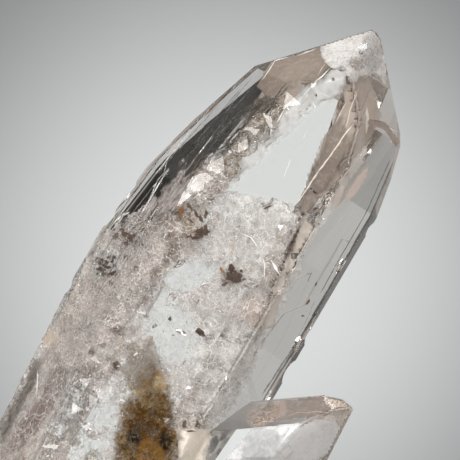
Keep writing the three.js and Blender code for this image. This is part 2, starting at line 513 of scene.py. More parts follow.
@dataclass
class QuartzSurface:
    """The outer surface of both crystals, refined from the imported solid."""

    pitch_mm: float = 0.75
    relief_mm: float = 0.42
    rough: tuple[RoughPatch, ...] = (
        RoughPatch((-22.0, 8.0, 12.0), (11.0, 15.0, 30.0), 1.0),
        RoughPatch((-24.0, -10.0, 16.0), (9.0, 14.0, 27.0), 0.8),
        RoughPatch((-9.0, 22.0, 14.0), (9.0, 8.0, 28.0), 0.8),
    )

    def refine(self, source: bpy.types.Mesh) -> bmesh.types.BMesh:
        """Cuts the solid's flat faces into an even mesh along the crystal's axes.

        Args:
            source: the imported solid's mesh.

        Returns:
            The refined mesh, all triangles.
        """
        mesh = bmesh.new()
        mesh.from_mesh(source)
        bmesh.ops.remove_doubles(mesh, verts=mesh.verts, dist=1e-6)
        bmesh.ops.dissolve_limit(mesh, angle_limit=math.radians(0.3), verts=mesh.verts, edges=mesh.edges)
        turn = AXIS.matrix()
        back = turn.inverted()
        local = [back @ v.co for v in mesh.verts]
        pitch = self.pitch_mm * MM
        for axis in range(3):
            low = min(p[axis] for p in local)
            high = max(p[axis] for p in local)
            normal = turn.to_3x3().col[axis]
            for step in range(1, int((high - low) / pitch)):
                point = Vector((0.0, 0.0, 0.0))
                point[axis] = low + step * pitch
                geometry = mesh.verts[:] + mesh.edges[:] + mesh.faces[:]
                bmesh.ops.bisect_plane(mesh, geom=geometry, dist=1e-7, plane_co=turn @ point,
                                       plane_no=normal)
        bmesh.ops.triangulate(mesh, faces=mesh.faces)
        return mesh

    def roughen(self, mesh: bmesh.types.BMesh) -> None:
        """Breaks the surface up where the crystal grew against its matrix.

        Args:
            mesh: the refined mesh, which is changed.
        """
        mesh.normal_update()
        back = AXIS.matrix().inverted()
        for vertex in mesh.verts:
            if vertex.co.z < 0.5 * MM:
                continue
            local = back @ vertex.co
            share = max(patch.share(local) for patch in self.rough)
            if share <= 0.0:
                continue
            spot = local / MM
            broad = abs(noise.noise(spot * 0.45))
            fine = noise.noise(spot * 1.3)
            relief = 0.9 * broad + 0.55 * (0.5 + 0.5 * fine)
            vertex.co -= vertex.normal * (share * self.relief_mm * MM * relief)

    def build(self, node: bpy.types.Object, finish: QuartzFinish, hollows: Sequence[bpy.types.Mesh]
              ) -> bpy.types.Object:
        """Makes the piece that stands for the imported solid.

        Args:
            node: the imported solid.
            finish: the clear quartz.
            hollows: closed shells of the thin empty cracks inside it.

        Returns:
            The piece.
        """
        mesh = self.refine(node.data)
        self.roughen(mesh)
        for hollow in hollows:
            start = len(mesh.faces)
            mesh.from_mesh(hollow)
            mesh.faces.ensure_lookup_table()
            bmesh.ops.reverse_faces(mesh, faces=mesh.faces[start:])
        piece = new_piece("quartz_surface", mesh_from(mesh, "quartz_surface"), finish.build())
        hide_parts(NODE)
        return piece


@dataclass(frozen=True)
class Patch:
    """A soft-edged oval on a veil, in photograph pixels, with its own colour and cover."""

    centre: Pixel
    radius: Pixel
    turn_deg: float
    colour: Colour
    cover: float
    edge: float = 0.35

    def share(self, column: float, row: float, ragged: float) -> float:
        """How much of the patch shows at a pixel.

        Args:
            column: pixels from the left.
            row: pixels from the top.
            ragged: a random shift of the edge.

        Returns:
            From 0 outside to 1 inside.
        """
        turn = math.radians(self.turn_deg)
        dx, dy = column - self.centre[0], row - self.centre[1]
        across = (dx * math.cos(turn) + dy * math.sin(turn)) / self.radius[0]
        down = (-dx * math.sin(turn) + dy * math.cos(turn)) / self.radius[1]
        reach = math.hypot(across, down) + 0.35 * ragged
        share = min(1.0, max(0.0, (1.0 + self.edge / 2 - reach) / self.edge))
        return share * share * (3.0 - 2.0 * share)


def within(outline: Sequence[Pixel], column: float, row: float) -> bool:
    """Whether a pixel lies inside an outline.

    Args:
        outline: the corners in order.
        column: pixels from the left.
        row: pixels from the top.

    Returns:
        True inside.
    """
    inside = False
    for (x0, y0), (x1, y1) in zip(outline, [*outline[1:], outline[0]]):
        if (y0 > row) != (y1 > row) and column < (x1 - x0) * (row - y0) / (y1 - y0) + x0:
            inside = not inside
    return inside


def edge_distance(outline: Sequence[Pixel], column: float, row: float) -> float:
    """Distance of a pixel from an outline.

    Args:
        outline: the corners in order.
        column: pixels from the left.
        row: pixels from the top.

    Returns:
        The distance in pixels.
    """
    best = math.inf
    for (x0, y0), (x1, y1) in zip(outline, [*outline[1:], outline[0]]):
        length = (x1 - x0) ** 2 + (y1 - y0) ** 2
        share = min(1.0, max(0.0, ((column - x0) * (x1 - x0) + (row - y0) * (y1 - y0)) / length))
        best = min(best, math.hypot(column - x0 - share * (x1 - x0), row - y0 - share * (y1 - y0)))
    return best


@dataclass
class VeilSheet:
    """A wavy sheet inside the quartz, painted patch by patch."""

    name: str
    finish: VeilFinish
    outline: Sequence[Pixel]
    depth_mm: float
    colour: Colour
    cover: float
    patches: Sequence[Patch] = ()
    slope: tuple[float, float] = (0.0, 0.0)
    wave_mm: float = 1.5
    wave_scale: float = 0.02
    feather: float = 8.0
    ragged: float = 10.0
    step: float = 2.5
    seed: float = 0.0
    margin_mm: float = 0.25
    slot: Slot = Slot.VEIL

    def paint(self, column: float, row: float) -> tuple[Colour, float]:
        """Colour and cover of the sheet at a pixel.

        Args:
            column: pixels from the left.
            row: pixels from the top.

        Returns:
            The colour, and the cover from 0 to 1.
        """
        spot = Vector((column * 0.035, row * 0.035, self.seed))
        ragged = noise.fractal(spot, 0.6, 2.0, 4)
        colour, cover = Vector(self.colour), self.cover
        for number, patch in enumerate(self.patches):
            shifted = noise.fractal(spot * 1.6 + Vector((0.0, 0.0, 3.7 * number)), 0.6, 2.0, 4)
            share = patch.share(column, row, shifted)
            colour = colour.lerp(Vector(patch.colour), share)
            cover += (patch.cover - cover) * share
        distance = edge_distance(self.outline, column, row) + self.ragged * ragged
        return tuple(colour), cover * min(1.0, max(0.0, distance / self.feather))

    def depth(self, column: float, row: float, middle: Pixel) -> float:
        """Depth of the sheet below the surface at a pixel.

        Args:
            column: pixels from the left.
            row: pixels from the top.
            middle: the middle of the sheet, about which it slopes.

        Returns:
            The depth in millimetres.
        """
        spot = Vector((column, row, 0.0)) * self.wave_scale + Vector((0, 0, self.seed))
        wave = noise.fractal(spot, 0.7, 2.0, 5)
        lean = self.slope[0] * (column - middle[0]) + self.slope[1] * (row - middle[1])
        return max(self.margin_mm + 0.15, self.depth_mm + lean + self.wave_mm * wave)

    def mesh(self, sight: Sight) -> bpy.types.Mesh:
        """The painted sheet.

        Args:
            sight: the lines of sight that place it.

        Returns:
            The mesh, with its colour and cover as attributes.
        """
        columns = [x for x, _ in self.outline]
        rows = [y for _, y in self.outline]
        middle = (sum(columns) / len(columns), sum(rows) / len(rows))
        across = int((max(columns) - min(columns)) / self.step) + 1
        down = int((max(rows) - min(rows)) / self.step) + 1
        mesh = bmesh.new()
        tone = mesh.verts.layers.float_color.new("tone")
        cover = mesh.verts.layers.float.new("cover")
        grid: dict[tuple[int, int], bmesh.types.BMVert] = {}
        for i in range(across + 1):
            for j in range(down + 1):
                column, row = min(columns) + i * self.step, min(rows) + j * self.step
                if not within(self.outline, column, row):
                    continue
                point = sight.point(column, row, self.depth(column, row, middle), self.margin_mm)
                if point is None:
                    continue
                colour, share = self.paint(column, row)
                vertex = mesh.verts.new(point)
                vertex[tone] = (*colour, share)
                vertex[cover] = share
                grid[i, j] = vertex
        limit = 5.0 * self.step / PHOTO.pixels_per_mm * MM
        for (i, j), first in grid.items():
            corners = [grid.get(key) for key in ((i, j), (i, j + 1), (i + 1, j + 1), (i + 1, j))]
            if None in corners:
                continue
            if max((a.co - b.co).length for a, b in zip(corners, corners[1:] + [first])) < limit:
                mesh.faces.new(corners)
        bmesh.ops.delete(mesh, geom=[v for v in mesh.verts if not v.link_faces], context="VERTS")
        data = mesh_from(mesh, self.name)
        data.shade_smooth()
        return data

    def build(self, sight: Sight) -> bpy.types.Object:
        """Makes the sheet.

        Args:
            sight: the lines of sight that place it.

        Returns:
            The piece.
        """
        return new_piece(self.name, self.mesh(sight), self.finish.build())


@dataclass(frozen=True)
class Lobe:
    """A soft-edged patch of the studio's surroundings, seen in one direction."""

    azimuth: float
    elevation: float
    inner: float
    outer: float
    colour: Colour


def chord(angle_deg: float) -> float:
    """Distance between two directions that an angle apart have."""
    return 2.0 * math.sin(math.radians(angle_deg) / 2.0)


@dataclass
class Studio:
    """Soft light from all round, a pale floor, and the camera."""

    backdrop: tuple[Lobe, ...] = (
        Lobe(0.0, 0.0, 6.0, 16.0, (0.225, 0.228, 0.230)),
        Lobe(0.0, -0.5, 0.8, 5.0, (0.715, 0.725, 0.725)),
    )
    lights: tuple[Lobe, ...] = (
        Lobe(180.0, 5.0, 40.0, 80.0, (0.85, 0.84, 0.82)),
        Lobe(180.0, 48.0, 24.0, 46.0, (8.8, 8.6, 8.4)),
        Lobe(180.0, 0.0, 4.5, 9.0, (0.05, 0.05, 0.05)),
        Lobe(0.0, 0.0, 5.0, 14.0, (0.76, 0.785, 0.775)),
        Lobe(29.0, -25.0, 9.0, 10.5, (0.018, 0.017, 0.015)),
        Lobe(47.0, -35.0, 7.5, 10.0, (0.56, 0.575, 0.57)),
        Lobe(-44.7, -14.4, 6.0, 10.0, (0.44, 0.425, 0.41)),
        Lobe(-37.0, 20.0, 7.0, 12.0, (0.465, 0.465, 0.45)),
        Lobe(-41.5, 9.5, 5.0, 10.5, (0.315, 0.318, 0.308)),
        Lobe(-48.0, 36.0, 9.0, 16.0, (0.08, 0.08, 0.08)),
        Lobe(-58.0, 25.0, 5.0, 9.0, (0.10, 0.10, 0.10)),
    )
    far: Colour = (0.50, 0.50, 0.50)
    around: Colour = (0.36, 0.33, 0.30)
    floor_radius: float = 0.060
    sensor_mm: float = 36.0
    glass_bounces: int = 40
    gloss_bounces: int = 16
    soft_bounces: int = 4
    veil_bounces: int = 48

    @staticmethod
    def paint(shader: Shader, towards: bpy.types.NodeSocket, base: Colour, lobes: Sequence[Lobe]
              ) -> bpy.types.NodeSocket:
        """A base colour with lobes painted over it in order.

        Args:
            shader: the tree to build in.
            towards: the direction that is painted.
            base: the colour beside all lobes.
            lobes: the patches of light.

        Returns:
            The colour socket.
        """
        colour: object = base
        for lobe in lobes:
            azimuth, elevation = math.radians(lobe.azimuth), math.radians(lobe.elevation)
            middle = (math.sin(azimuth) * math.cos(elevation), math.cos(azimuth) * math.cos(elevation),
                      math.sin(elevation))
            apart = shader.node("VectorMath", {0: towards, 1: middle}, operation="DISTANCE")
            share = shader.span(apart.outputs["Value"], chord(lobe.outer), chord(lobe.inner))
            colour = shader.mix(share, colour, lobe.colour)
        return colour

    def world(self) -> None:
        """Paints the backdrop that is seen beside the specimen and the light that falls on it."""
        world = bpy.data.worlds.new("studio")
        bpy.context.scene.world = world
        world.use_nodes = True
        shader = Shader(world.node_tree)
        towards = shader.node("TexCoord").outputs["Generated"]
        seen = self.paint(shader, towards, self.far, self.backdrop)
        light = self.paint(shader, towards, self.around, self.lights)
        direct = shader.node("LightPath").outputs["Is Camera Ray"]
        glow = shader.node("Background", {"Color": shader.mix(direct, light, seen), "Strength": 1.0})
        shader.node("OutputWorld", {"Surface": glow.outputs["Background"]})

    def floor(self) -> None:
        """A pale round floor under the specimen."""
        mesh = bmesh.new()
        bmesh.ops.create_circle(mesh, cap_ends=True, segments=96, radius=self.floor_radius)
        data = mesh_from(mesh, "floor")
        material, shader = new_material("pale_floor")
        cloud = shader.noise(in_millimetres(shader), 0.05, 3.0)
        tone = shader.mix(cloud, (0.29, 0.285, 0.28), (0.33, 0.325, 0.32))
        surface = shader.node("BsdfPrincipled", {"Base Color": tone, "Roughness": 0.7})
        shader.node("OutputMaterial", {"Surface": surface.outputs["BSDF"]})
        data.materials.append(material)
        ground = bpy.data.objects.new("floor", data)
        bpy.context.scene.collection.objects.link(ground)

    def camera(self) -> None:
        """Sets the camera level with the middle of the photograph."""
        data = bpy.data.cameras.new("camera")
        camera = bpy.data.objects.new("camera", data)
        bpy.context.scene.collection.objects.link(camera)
        camera.location = PHOTO.eye()
        camera.rotation_euler = (math.radians(90.0), 0.0, 0.0)
        data.sensor_width = self.sensor_mm
        data.lens = self.sensor_mm * PHOTO.distance_mm / (PHOTO.pixels / PHOTO.pixels_per_mm)
        data.clip_start = 0.01
        bpy.context.scene.camera = camera

    def build(self) -> None:
        """Sets up the light, the floor, the camera and how light is followed."""
        self.world()
        self.floor()
        self.camera()
        scene = bpy.context.scene
        scene.view_settings.view_transform = "Standard"
        scene.cycles.max_bounces = self.glass_bounces
        scene.cycles.transmission_bounces = self.glass_bounces
        scene.cycles.glossy_bounces = self.gloss_bounces
        scene.cycles.diffuse_bounces = self.soft_bounces
        scene.cycles.transparent_max_bounces = self.veil_bounces
        LOG.info("studio: %d patches of light", len(self.lights))


@dataclass
class FootPaintedLight:
    """Pale layers of painted light just above the flat cut at the foot, where the foot would show black from
    behind.
    """

    finish: VeilFinish
    heights_mm: tuple[float, ...] = (0.7, 2.6)
    colour: Colour = (0.74, 0.68, 0.62)
    cover: float = 0.95
    step_mm: float = 0.8
    wave_mm: float = 0.5
    half_length_mm: float = 42.0
    half_width_mm: float = 21.0
    margin_mm: float = 0.15

    def build(self, sight: Sight) -> bpy.types.Object:
        """Makes the layers of painted light.

        Args:
            sight: tells what lies inside the quartz.

        Returns:
            The piece.
        """
        mesh = bmesh.new()
        tone = mesh.verts.layers.float_color.new("tone")
        for height in self.heights_mm:
            grid: dict[tuple[int, int], bmesh.types.BMVert] = {}
            for i in range(int(2 * self.half_length_mm / self.step_mm)):
                for j in range(int(2 * self.half_width_mm / self.step_mm)):
                    x, y = i * self.step_mm - self.half_length_mm, j * self.step_mm - self.half_width_mm
                    wave = self.wave_mm * noise.fractal(Vector((x * 0.15, y * 0.15, height)), 0.7, 2.0, 4)
                    point = Vector((x, y, height + wave)) * MM
                    if sight.inside(point, self.margin_mm):
                        vertex = mesh.verts.new(point)
                        vertex[tone] = (*self.colour, self.cover)
                        grid[i, j] = vertex
            for (i, j), first in grid.items():
                corners = [first, *(grid.get(key) for key in ((i + 1, j), (i + 1, j + 1), (i, j + 1)))]
                if None not in corners:
                    mesh.faces.new(corners)
        bmesh.ops.delete(mesh, geom=[v for v in mesh.verts if not v.link_faces], context="VERTS")
        data = mesh_from(mesh, "foot_painted_light")
        data.shade_smooth()
        return new_piece("foot_painted_light", data, self.finish.build())


@dataclass
class GrainCloud:
    """Small grains strewn over a veil where it covers most, by Geometry Nodes."""

    name: str
    finish: MineralFinish
    per_mm2: float
    size_mm: tuple[float, float]
    drift_mm: float
    seed: int
    slot: Slot = Slot.VEIL
    turn_rad: float = 6.28
    margin_mm: float = 0.05

    def tree(self, material: bpy.types.Material) -> bpy.types.NodeTree:
        """The node group: points on the sheet, a squashed grain on each, realized.

        Args:
            material: the grains' finish.

        Returns:
            The node group, with inputs for how many grains there are and for the seed.
        """
        tree = bpy.data.node_groups.new(self.name, "GeometryNodeTree")
        face = tree.interface
        face.new_socket("Geometry", in_out="INPUT", socket_type="NodeSocketGeometry")
        face.new_socket("Grains per square metre", in_out="INPUT", socket_type="NodeSocketFloat")
        face.new_socket("Seed", in_out="INPUT", socket_type="NodeSocketInt")
        face.new_socket("Geometry", in_out="OUTPUT", socket_type="NodeSocketGeometry")

        def add(kind: str, **settings: object) -> bpy.types.Node:
            """Adds a node.

            Args:
                kind: the node type.
                settings: attributes of the node.

            Returns:
                The node.
            """
            made = tree.nodes.new(kind)
            for key, value in settings.items():
                setattr(made, key, value)
            return made

        def chance(low: Sequence[float], high: Sequence[float], shift: int) -> bpy.types.NodeSocket:
            """A random vector for each grain.

            Args:
                low: least value along each axis.
                high: greatest value along each axis.
                shift: sets this vector's random numbers apart from the others.

            Returns:
                The vector socket.
            """
            made = add("FunctionNodeRandomValue", data_type="FLOAT_VECTOR")
            made.inputs["Min"].default_value = tuple(low)
            made.inputs["Max"].default_value = tuple(high)
            made.inputs["Seed"].default_value = self.seed + shift
            return made.outputs["Value"]

        link = tree.links.new
        entry, leave = add("NodeGroupInput"), add("NodeGroupOutput")
        cover = add("GeometryNodeInputNamedAttribute", data_type="FLOAT")
        cover.inputs["Name"].default_value = "cover"
        density = add("ShaderNodeMath", operation="MULTIPLY")
        link(cover.outputs["Attribute"], density.inputs[0])
        link(entry.outputs["Grains per square metre"], density.inputs[1])
        strewn = add("GeometryNodeDistributePointsOnFaces", distribute_method="RANDOM")
        link(entry.outputs["Geometry"], strewn.inputs["Mesh"])
        link(density.outputs["Value"], strewn.inputs["Density"])
        link(entry.outputs["Seed"], strewn.inputs["Seed"])
        moved = add("GeometryNodeSetPosition")
        link(strewn.outputs["Points"], moved.inputs["Geometry"])
        drift = self.drift_mm * MM
        link(chance((-drift,) * 3, (drift,) * 3, 1), moved.inputs["Offset"])
        grain = add("GeometryNodeMeshIcoSphere")
        grain.inputs["Radius"].default_value = MM
        grain.inputs["Subdivisions"].default_value = 1
        low, high = self.size_mm
        placed = add("GeometryNodeInstanceOnPoints")
        link(moved.outputs["Geometry"], placed.inputs["Points"])
        link(grain.outputs["Mesh"], placed.inputs["Instance"])
        link(chance((0.0,) * 3, (self.turn_rad,) * 3, 2), placed.inputs["Rotation"])
        link(chance((low, low, low * 0.2), (high, high, high * 0.5), 3), placed.inputs["Scale"])
        real = add("GeometryNodeRealizeInstances")
        link(placed.outputs["Instances"], real.inputs["Geometry"])
        coated = add("GeometryNodeSetMaterial")
        coated.inputs["Material"].default_value = material
        link(real.outputs["Geometry"], coated.inputs["Geometry"])
        link(coated.outputs["Geometry"], leave.inputs["Geometry"])
        return tree

    def enclosed(self, mesh: bpy.types.Mesh, sight: Sight) -> bpy.types.Mesh:
        """Drops the grains that would reach out of the quartz.

        Args:
            mesh: all grains, one after the other.
            sight: tells what lies inside the quartz.

        Returns:
            The mesh of the grains that stay.
        """
        grains = bmesh.new()
        grains.from_mesh(mesh)
        grains.verts.ensure_lookup_table()
        dropped: list[bmesh.types.BMVert] = []
        for start in range(0, len(grains.verts), ICOSPHERE_CORNERS):
            grain = grains.verts[start:start + ICOSPHERE_CORNERS]
            if not all(sight.inside(corner.co, self.margin_mm) for corner in grain):
                dropped += grain
        bmesh.ops.delete(grains, geom=dropped, context="VERTS")
        return mesh_from(grains, self.name)

    def build(self, sheet: bpy.types.Object, sight: Sight) -> bpy.types.Object:
        """Makes the cloud.

        Args:
            sheet: the veil that the grains lie on.
            sight: tells what lies inside the quartz.

        Returns:
            The piece.
        """
        material = self.finish.build()
        tree = self.tree(material)
        carrier = bpy.data.objects.new(f"{self.name}_source", sheet.data.copy())
        bpy.context.scene.collection.objects.link(carrier)
        modifier = carrier.modifiers.new("grains", "NODES")
        modifier.node_group = tree
        sockets = {item.name: item.identifier for item in tree.interface.items_tree if item.in_out == "INPUT"}
        modifier[sockets["Grains per square metre"]] = self.per_mm2 / (MM * MM)
        modifier[sockets["Seed"]] = self.seed
        carrier.update_tag()
        shaped = carrier.evaluated_get(bpy.context.evaluated_depsgraph_get())
        mesh = bpy.data.meshes.new_from_object(shaped)
        carrier.modifiers.clear()
        bpy.data.objects.remove(carrier)
        return new_piece(self.name, self.enclosed(mesh, sight), material)


@dataclass
class CrackSet:
    """Thin open cracks in a part of the quartz: closed, lens-shaped gaps."""

    outline: Sequence[Pixel]
    count: int
    size_mm: tuple[float, float]
    depth_mm: tuple[float, float]
    facing: tuple[float, float, float] = (0.0, -0.75, 0.65)
    spread: float = 0.35
    gap_mm: float = 0.02
    ripple_mm: float = 0.05
    seed: int = 1
    rim: int = 11
    rings: tuple[float, ...] = (0.4, 0.75)

    def mesh(self, sight: Sight) -> bpy.types.Mesh:
        """All cracks of the set as one mesh.

        Args:
            sight: the lines of sight that place them.

        Returns:
            The mesh of closed shells.
        """
        dice = random.Random(self.seed)
        columns = [x for x, _ in self.outline]
        rows = [y for _, y in self.outline]
        mesh = bmesh.new()
        placed = 0
        for _ in range(self.count * 20):
            if placed >= self.count:
                break
            column, row = dice.uniform(min(columns), max(columns)), dice.uniform(min(rows), max(rows))
            size = dice.uniform(*self.size_mm)
            middle = sight.point(column, row, dice.uniform(*self.depth_mm), 0.3)
            if middle is None or not within(self.outline, column, row):
                continue
            placed += self.add(mesh, sight, middle, size, dice)
        return mesh_from(mesh, "cracks")

    def add(self, mesh: bmesh.types.BMesh, sight: Sight, middle: Vector, size: float,
            dice: random.Random) -> bool:
        """Adds one closed crack, if it fits inside the quartz.

        Args:
            mesh: where to add it.
            sight: tells whether it fits.
            middle: its middle, in metres.
            size: its radius in millimetres.
            dice: the random numbers.

        Returns:
            Whether it was added.
        """
        tilt = Vector((dice.gauss(0, 1), dice.gauss(0, 1), dice.gauss(0, 1))) * self.spread
        normal = (Vector(self.facing).normalized() + tilt).normalized()
        across = normal.orthogonal().normalized()
        across.rotate(Matrix.Rotation(dice.uniform(0.0, FULL_TURN), 3, normal))
        along = normal.cross(across)
        radii = [size * dice.uniform(0.6, 1.0) for _ in range(self.rim)]
        stretch, phase = dice.uniform(0.45, 1.0), dice.uniform(0.0, FULL_TURN)

        def spot(ring: float, number: int, side: float) -> Vector:
            """A point of one of the two walls.

            Args:
                ring: from 0 in the middle to 1 at the edge.
                number: which point of the ring it is.
                side: which wall it is on, and how far it stands off.

            Returns:
                The point in metres.
            """
            angle = FULL_TURN * number / self.rim
            reach = ring * radii[number]
            lift = self.ripple_mm * math.sin(ring * 8.0 + phase) + side * self.gap_mm * (1.0 - ring * ring)
            flat = across * (reach * math.cos(angle)) + along * (reach * stretch * math.sin(angle))
            return middle + (flat + normal * lift) * MM

        if not all(sight.inside(spot(1.0, number, 0.0), 0.12) for number in range(self.rim)):
            return False
        edge = [mesh.verts.new(spot(1.0, number, 0.0)) for number in range(self.rim)]
        for side in (0.5, -0.5):
            turns = [[mesh.verts.new(spot(ring, number, side)) for number in range(self.rim)]
                     for ring in self.rings]
            turns.append(edge)
            top = mesh.verts.new(spot(0.0, 0, side))
            for number in range(self.rim):
                after = (number + 1) % self.rim
                corners = [(top, turns[0][number], turns[0][after])]
                corners += [(inner[number], outer[number], outer[after], inner[after])
                            for inner, outer in zip(turns, turns[1:])]
                for face in corners:
                    mesh.faces.new(face if side > 0 else face[::-1])
        return True


@dataclass(frozen=True)
class FlakeSpot:
    """Where flakes lie: an oval in photograph pixels, and how many share it."""

    at: Pixel
    size: Pixel
    turn_deg: float = 0.0
    depth_mm: float = 0.5
    pieces: int = 1
    share: tuple[float, float] = (0.22, 0.5)


@dataclass
class FlakeSet:
    """Ragged thin flakes of one mineral."""

    name: str
    finish: MineralFinish
    spots: Sequence[FlakeSpot]
    thickness_mm: float = 0.18
    slot: Slot = Slot.DARK
    seed: int = 3
    rim: int = 13

    def build(self, sight: Sight) -> bpy.types.Object:
        """Makes the flakes.

        Args:
            sight: the lines of sight that place them.

        Returns:
            The piece.
        """
        dice = random.Random(self.seed)
        mesh = bmesh.new()
        for spot in self.spots:
            turn = math.radians(spot.turn_deg)
            for _ in range(spot.pieces):
                share = 1.0 if spot.pieces == 1 else dice.uniform(*spot.share)
                away = 0.0 if spot.pieces == 1 else 0.75
                u, v = dice.uniform(-away, away) * spot.size[0], dice.uniform(-away, away) * spot.size[1]
                at = (spot.at[0] + u * math.cos(turn) - v * math.sin(turn),
                      spot.at[1] + u * math.sin(turn) + v * math.cos(turn))
                tilt = turn if spot.pieces == 1 else turn + dice.uniform(-1.2, 1.2)
                size = (spot.size[0] * share, spot.size[1] * share)
                self.add(mesh, sight, at, size, tilt, spot.depth_mm + dice.uniform(-0.1, 0.4), dice)
        bmesh.ops.recalc_face_normals(mesh, faces=mesh.faces)
        return new_piece(self.name, mesh_from(mesh, self.name), self.finish.build())

    def add(self, mesh: bmesh.types.BMesh, sight: Sight, at: Pixel, size: Pixel, turn: float,
            depth_mm: float, dice: random.Random) -> None:
        """Adds one flake.

        Args:
            mesh: where to add it.
            sight: the lines of sight that place it.
            at: its middle in pixels.
            size: its half length and half width in pixels.
            turn: its turn in radians.
            depth_mm: its depth below the surface.
            dice: the random numbers.
        """
        radii = [dice.uniform(0.55, 1.12) for _ in range(self.rim)]
        lean = dice.uniform(-0.25, 0.25)

        def spot(share: float, number: int, lower: float) -> Vector | None:
            """A point of the flake.

            Args:
                share: from 0 in the middle to 1 at the rim.
                number: which point of the rim it is.
                lower: how much deeper it lies, in millimetres.

            Returns:
                The point in metres, or None where it would lie outside the quartz.
            """
            angle = FULL_TURN * number / self.rim
            u = size[0] * share * radii[number] * math.cos(angle)
            v = size[1] * share * radii[number] * math.sin(angle)
            column = at[0] + u * math.cos(turn) - v * math.sin(turn)
            row = at[1] + u * math.sin(turn) + v * math.cos(turn)
            depth = max(0.35, depth_mm + lean * u / PHOTO.pixels_per_mm + lower)
            return sight.point(column, row, depth, 0.1)

        front = [spot(1.0, number, 0.0) for number in range(self.rim)]
        back = [spot(0.85, number, self.thickness_mm) for number in range(self.rim)]
        middle = [spot(0.0, 0, -0.4 * self.thickness_mm), spot(0.0, 0, 1.3 * self.thickness_mm)]
        if None in front or None in back or None in middle:
            return
        rims = [[mesh.verts.new(point) for point in ring] for ring in (front, back)]
        caps = [mesh.verts.new(point) for point in middle]
        for number in range(self.rim):
            after = (number + 1) % self.rim
            mesh.faces.new((caps[0], rims[0][after], rims[0][number]))
            mesh.faces.new((rims[0][number], rims[0][after], rims[1][after], rims[1][number]))
            mesh.faces.new((caps[1], rims[1][number], rims[1][after]))


@dataclass(frozen=True)
class Line:
    """A fine line through photograph pixels."""

    points: Sequence[Pixel]
    width: float
    depth_mm: float = 0.6


@dataclass(frozen=True)
class StrokeBand:
    """Short strokes side by side, strewn along a band, in photograph pixels."""

    count: int
    start: Pixel
    run: Pixel
    slant: Pixel
    half_width: float
    way: Pixel
    half_length: tuple[float, float]
    stroke_width: tuple[float, float]
    depth_mm: float = 0.6

    def lines(self, dice: random.Random) -> list[Line]:
        """The strokes.

        Args:
            dice: the random numbers.

        Returns:
            One line for each stroke.
        """
        found: list[Line] = []
        for _ in range(self.count):
            share, off = dice.random(), dice.uniform(-self.half_width, self.half_width)
            half = dice.uniform(*self.half_length)
            middle = Vector([self.start[i] + self.run[i] * share + self.slant[i] * off for i in range(2)])
            ends = [middle + Vector(self.way) * reach for reach in (half, -half)]
            found.append(Line([tuple(end) for end in ends], dice.uniform(*self.stroke_width), self.depth_mm))
        return found


@dataclass
class LineSet:
    """Fine lines in the quartz: healed cracks, needles and growth steps seen edge on, and painted highlights
    along edges.
    """

    name: str
    finish: MineralFinish
    lines: Sequence[Line]
    waver: float = 0.8
    slot: Slot = Slot.VEIL
    seed: float = 5.0
    step: float = 2.5

    def build(self, sight: Sight) -> bpy.types.Object:
        """Makes the lines.

        Args:
            sight: the lines of sight that place them.

        Returns:
            The piece.
        """
        mesh = bmesh.new()
        for number, line in enumerate(self.lines):
            self.add(mesh, sight, line, self.seed + 9.1 * number)
        return new_piece(self.name, mesh_from(mesh, self.name), self.finish.build())

    def add(self, mesh: bmesh.types.BMesh, sight: Sight, line: Line, seed: float) -> None:
        """Adds one line as a narrow strip that tapers at both ends.

        Args:
            mesh: where to add it.
            sight: the lines of sight that place it.
            line: the line.
            seed: sets how it wavers.
        """
        track = [Vector(line.points[0])]
        for start, stop in zip(line.points, line.points[1:]):
            parts = max(1, int((Vector(stop) - Vector(start)).length / self.step))
            track += [Vector(start).lerp(Vector(stop), part / parts) for part in range(1, parts + 1)]
        last = None
        for number, spot in enumerate(track):
            ahead = track[min(number + 1, len(track) - 1)] - track[max(number - 1, 0)]
            side = Vector((-ahead.y, ahead.x)).normalized()
            sway = self.waver * noise.noise(Vector((spot.x * 0.12, spot.y * 0.12, seed)))
            taper = min(1.0, (number + 0.3) / 3.0, (len(track) - number - 0.7) / 3.0)
            swell = noise.noise(Vector((spot.x * 0.3, spot.y * 0.3, seed)))
            width = line.width * taper * (0.75 + 0.6 * swell)
            ends = [spot + side * (sway + half * width) for half in (-0.5, 0.5)]
            points = [sight.point(end.x, end.y, line.depth_mm, 0.1) for end in ends]
            pair = None if None in points else [mesh.verts.new(point) for point in points]
            if last and pair:
                mesh.faces.new((last[0], last[1], pair[1], pair[0]))
            last = pair


INTERIOR = (
    (128, 214), (150, 202), (185, 200), (215, 186), (245, 192), (290, 200), (303, 212), (292, 245),
    (272, 296), (268, 330), (252, 380), (222, 425), (200, 462), (196, 484), (-2, 484), (2, 422),
    (38, 354), (66, 300), (80, 268), (105, 235),
)
BEIGE_SPOT = ((180, 430), (196, 422), (214, 428), (210, 450), (200, 484), (178, 484), (176, 450))
LEFT = ((110, 230), (128, 214), (150, 204), (186, 202), (170, 235), (150, 270), (135, 302), (102, 362),
        (68, 430), (44, 484), (-2, 484), (2, 422), (38, 354), (66, 300), (80, 268))
SUGAR = ((102, 228), (126, 213), (160, 222), (172, 250), (150, 290), (122, 330), (96, 372), (60, 372),
         (46, 345), (64, 305), (80, 268))
TIP = ((316, 52), (322, 42), (350, 31), (364, 26), (378, 26), (388, 44), (390, 74), (386, 86), (368, 76),
       (354, 84), (342, 72), (330, 68))
GAP = ((184, 156), (190, 164), (187, 174), (198, 166), (209, 158), (206, 178), (198, 194), (194, 210),
       (160, 217), (136, 219), (146, 205), (156, 191), (166, 177), (176, 163))
KNOT = ((196, 168), (210, 156), (230, 158), (236, 172), (228, 192), (210, 206), (192, 208), (190, 190))
RIDGE = ((276, 92), (296, 96), (282, 120), (258, 144), (242, 178), (226, 186), (212, 172), (234, 138),
         (258, 108))
CHIPS = ((326, 398), (345, 397), (355, 408), (350, 424), (338, 430), (332, 416))

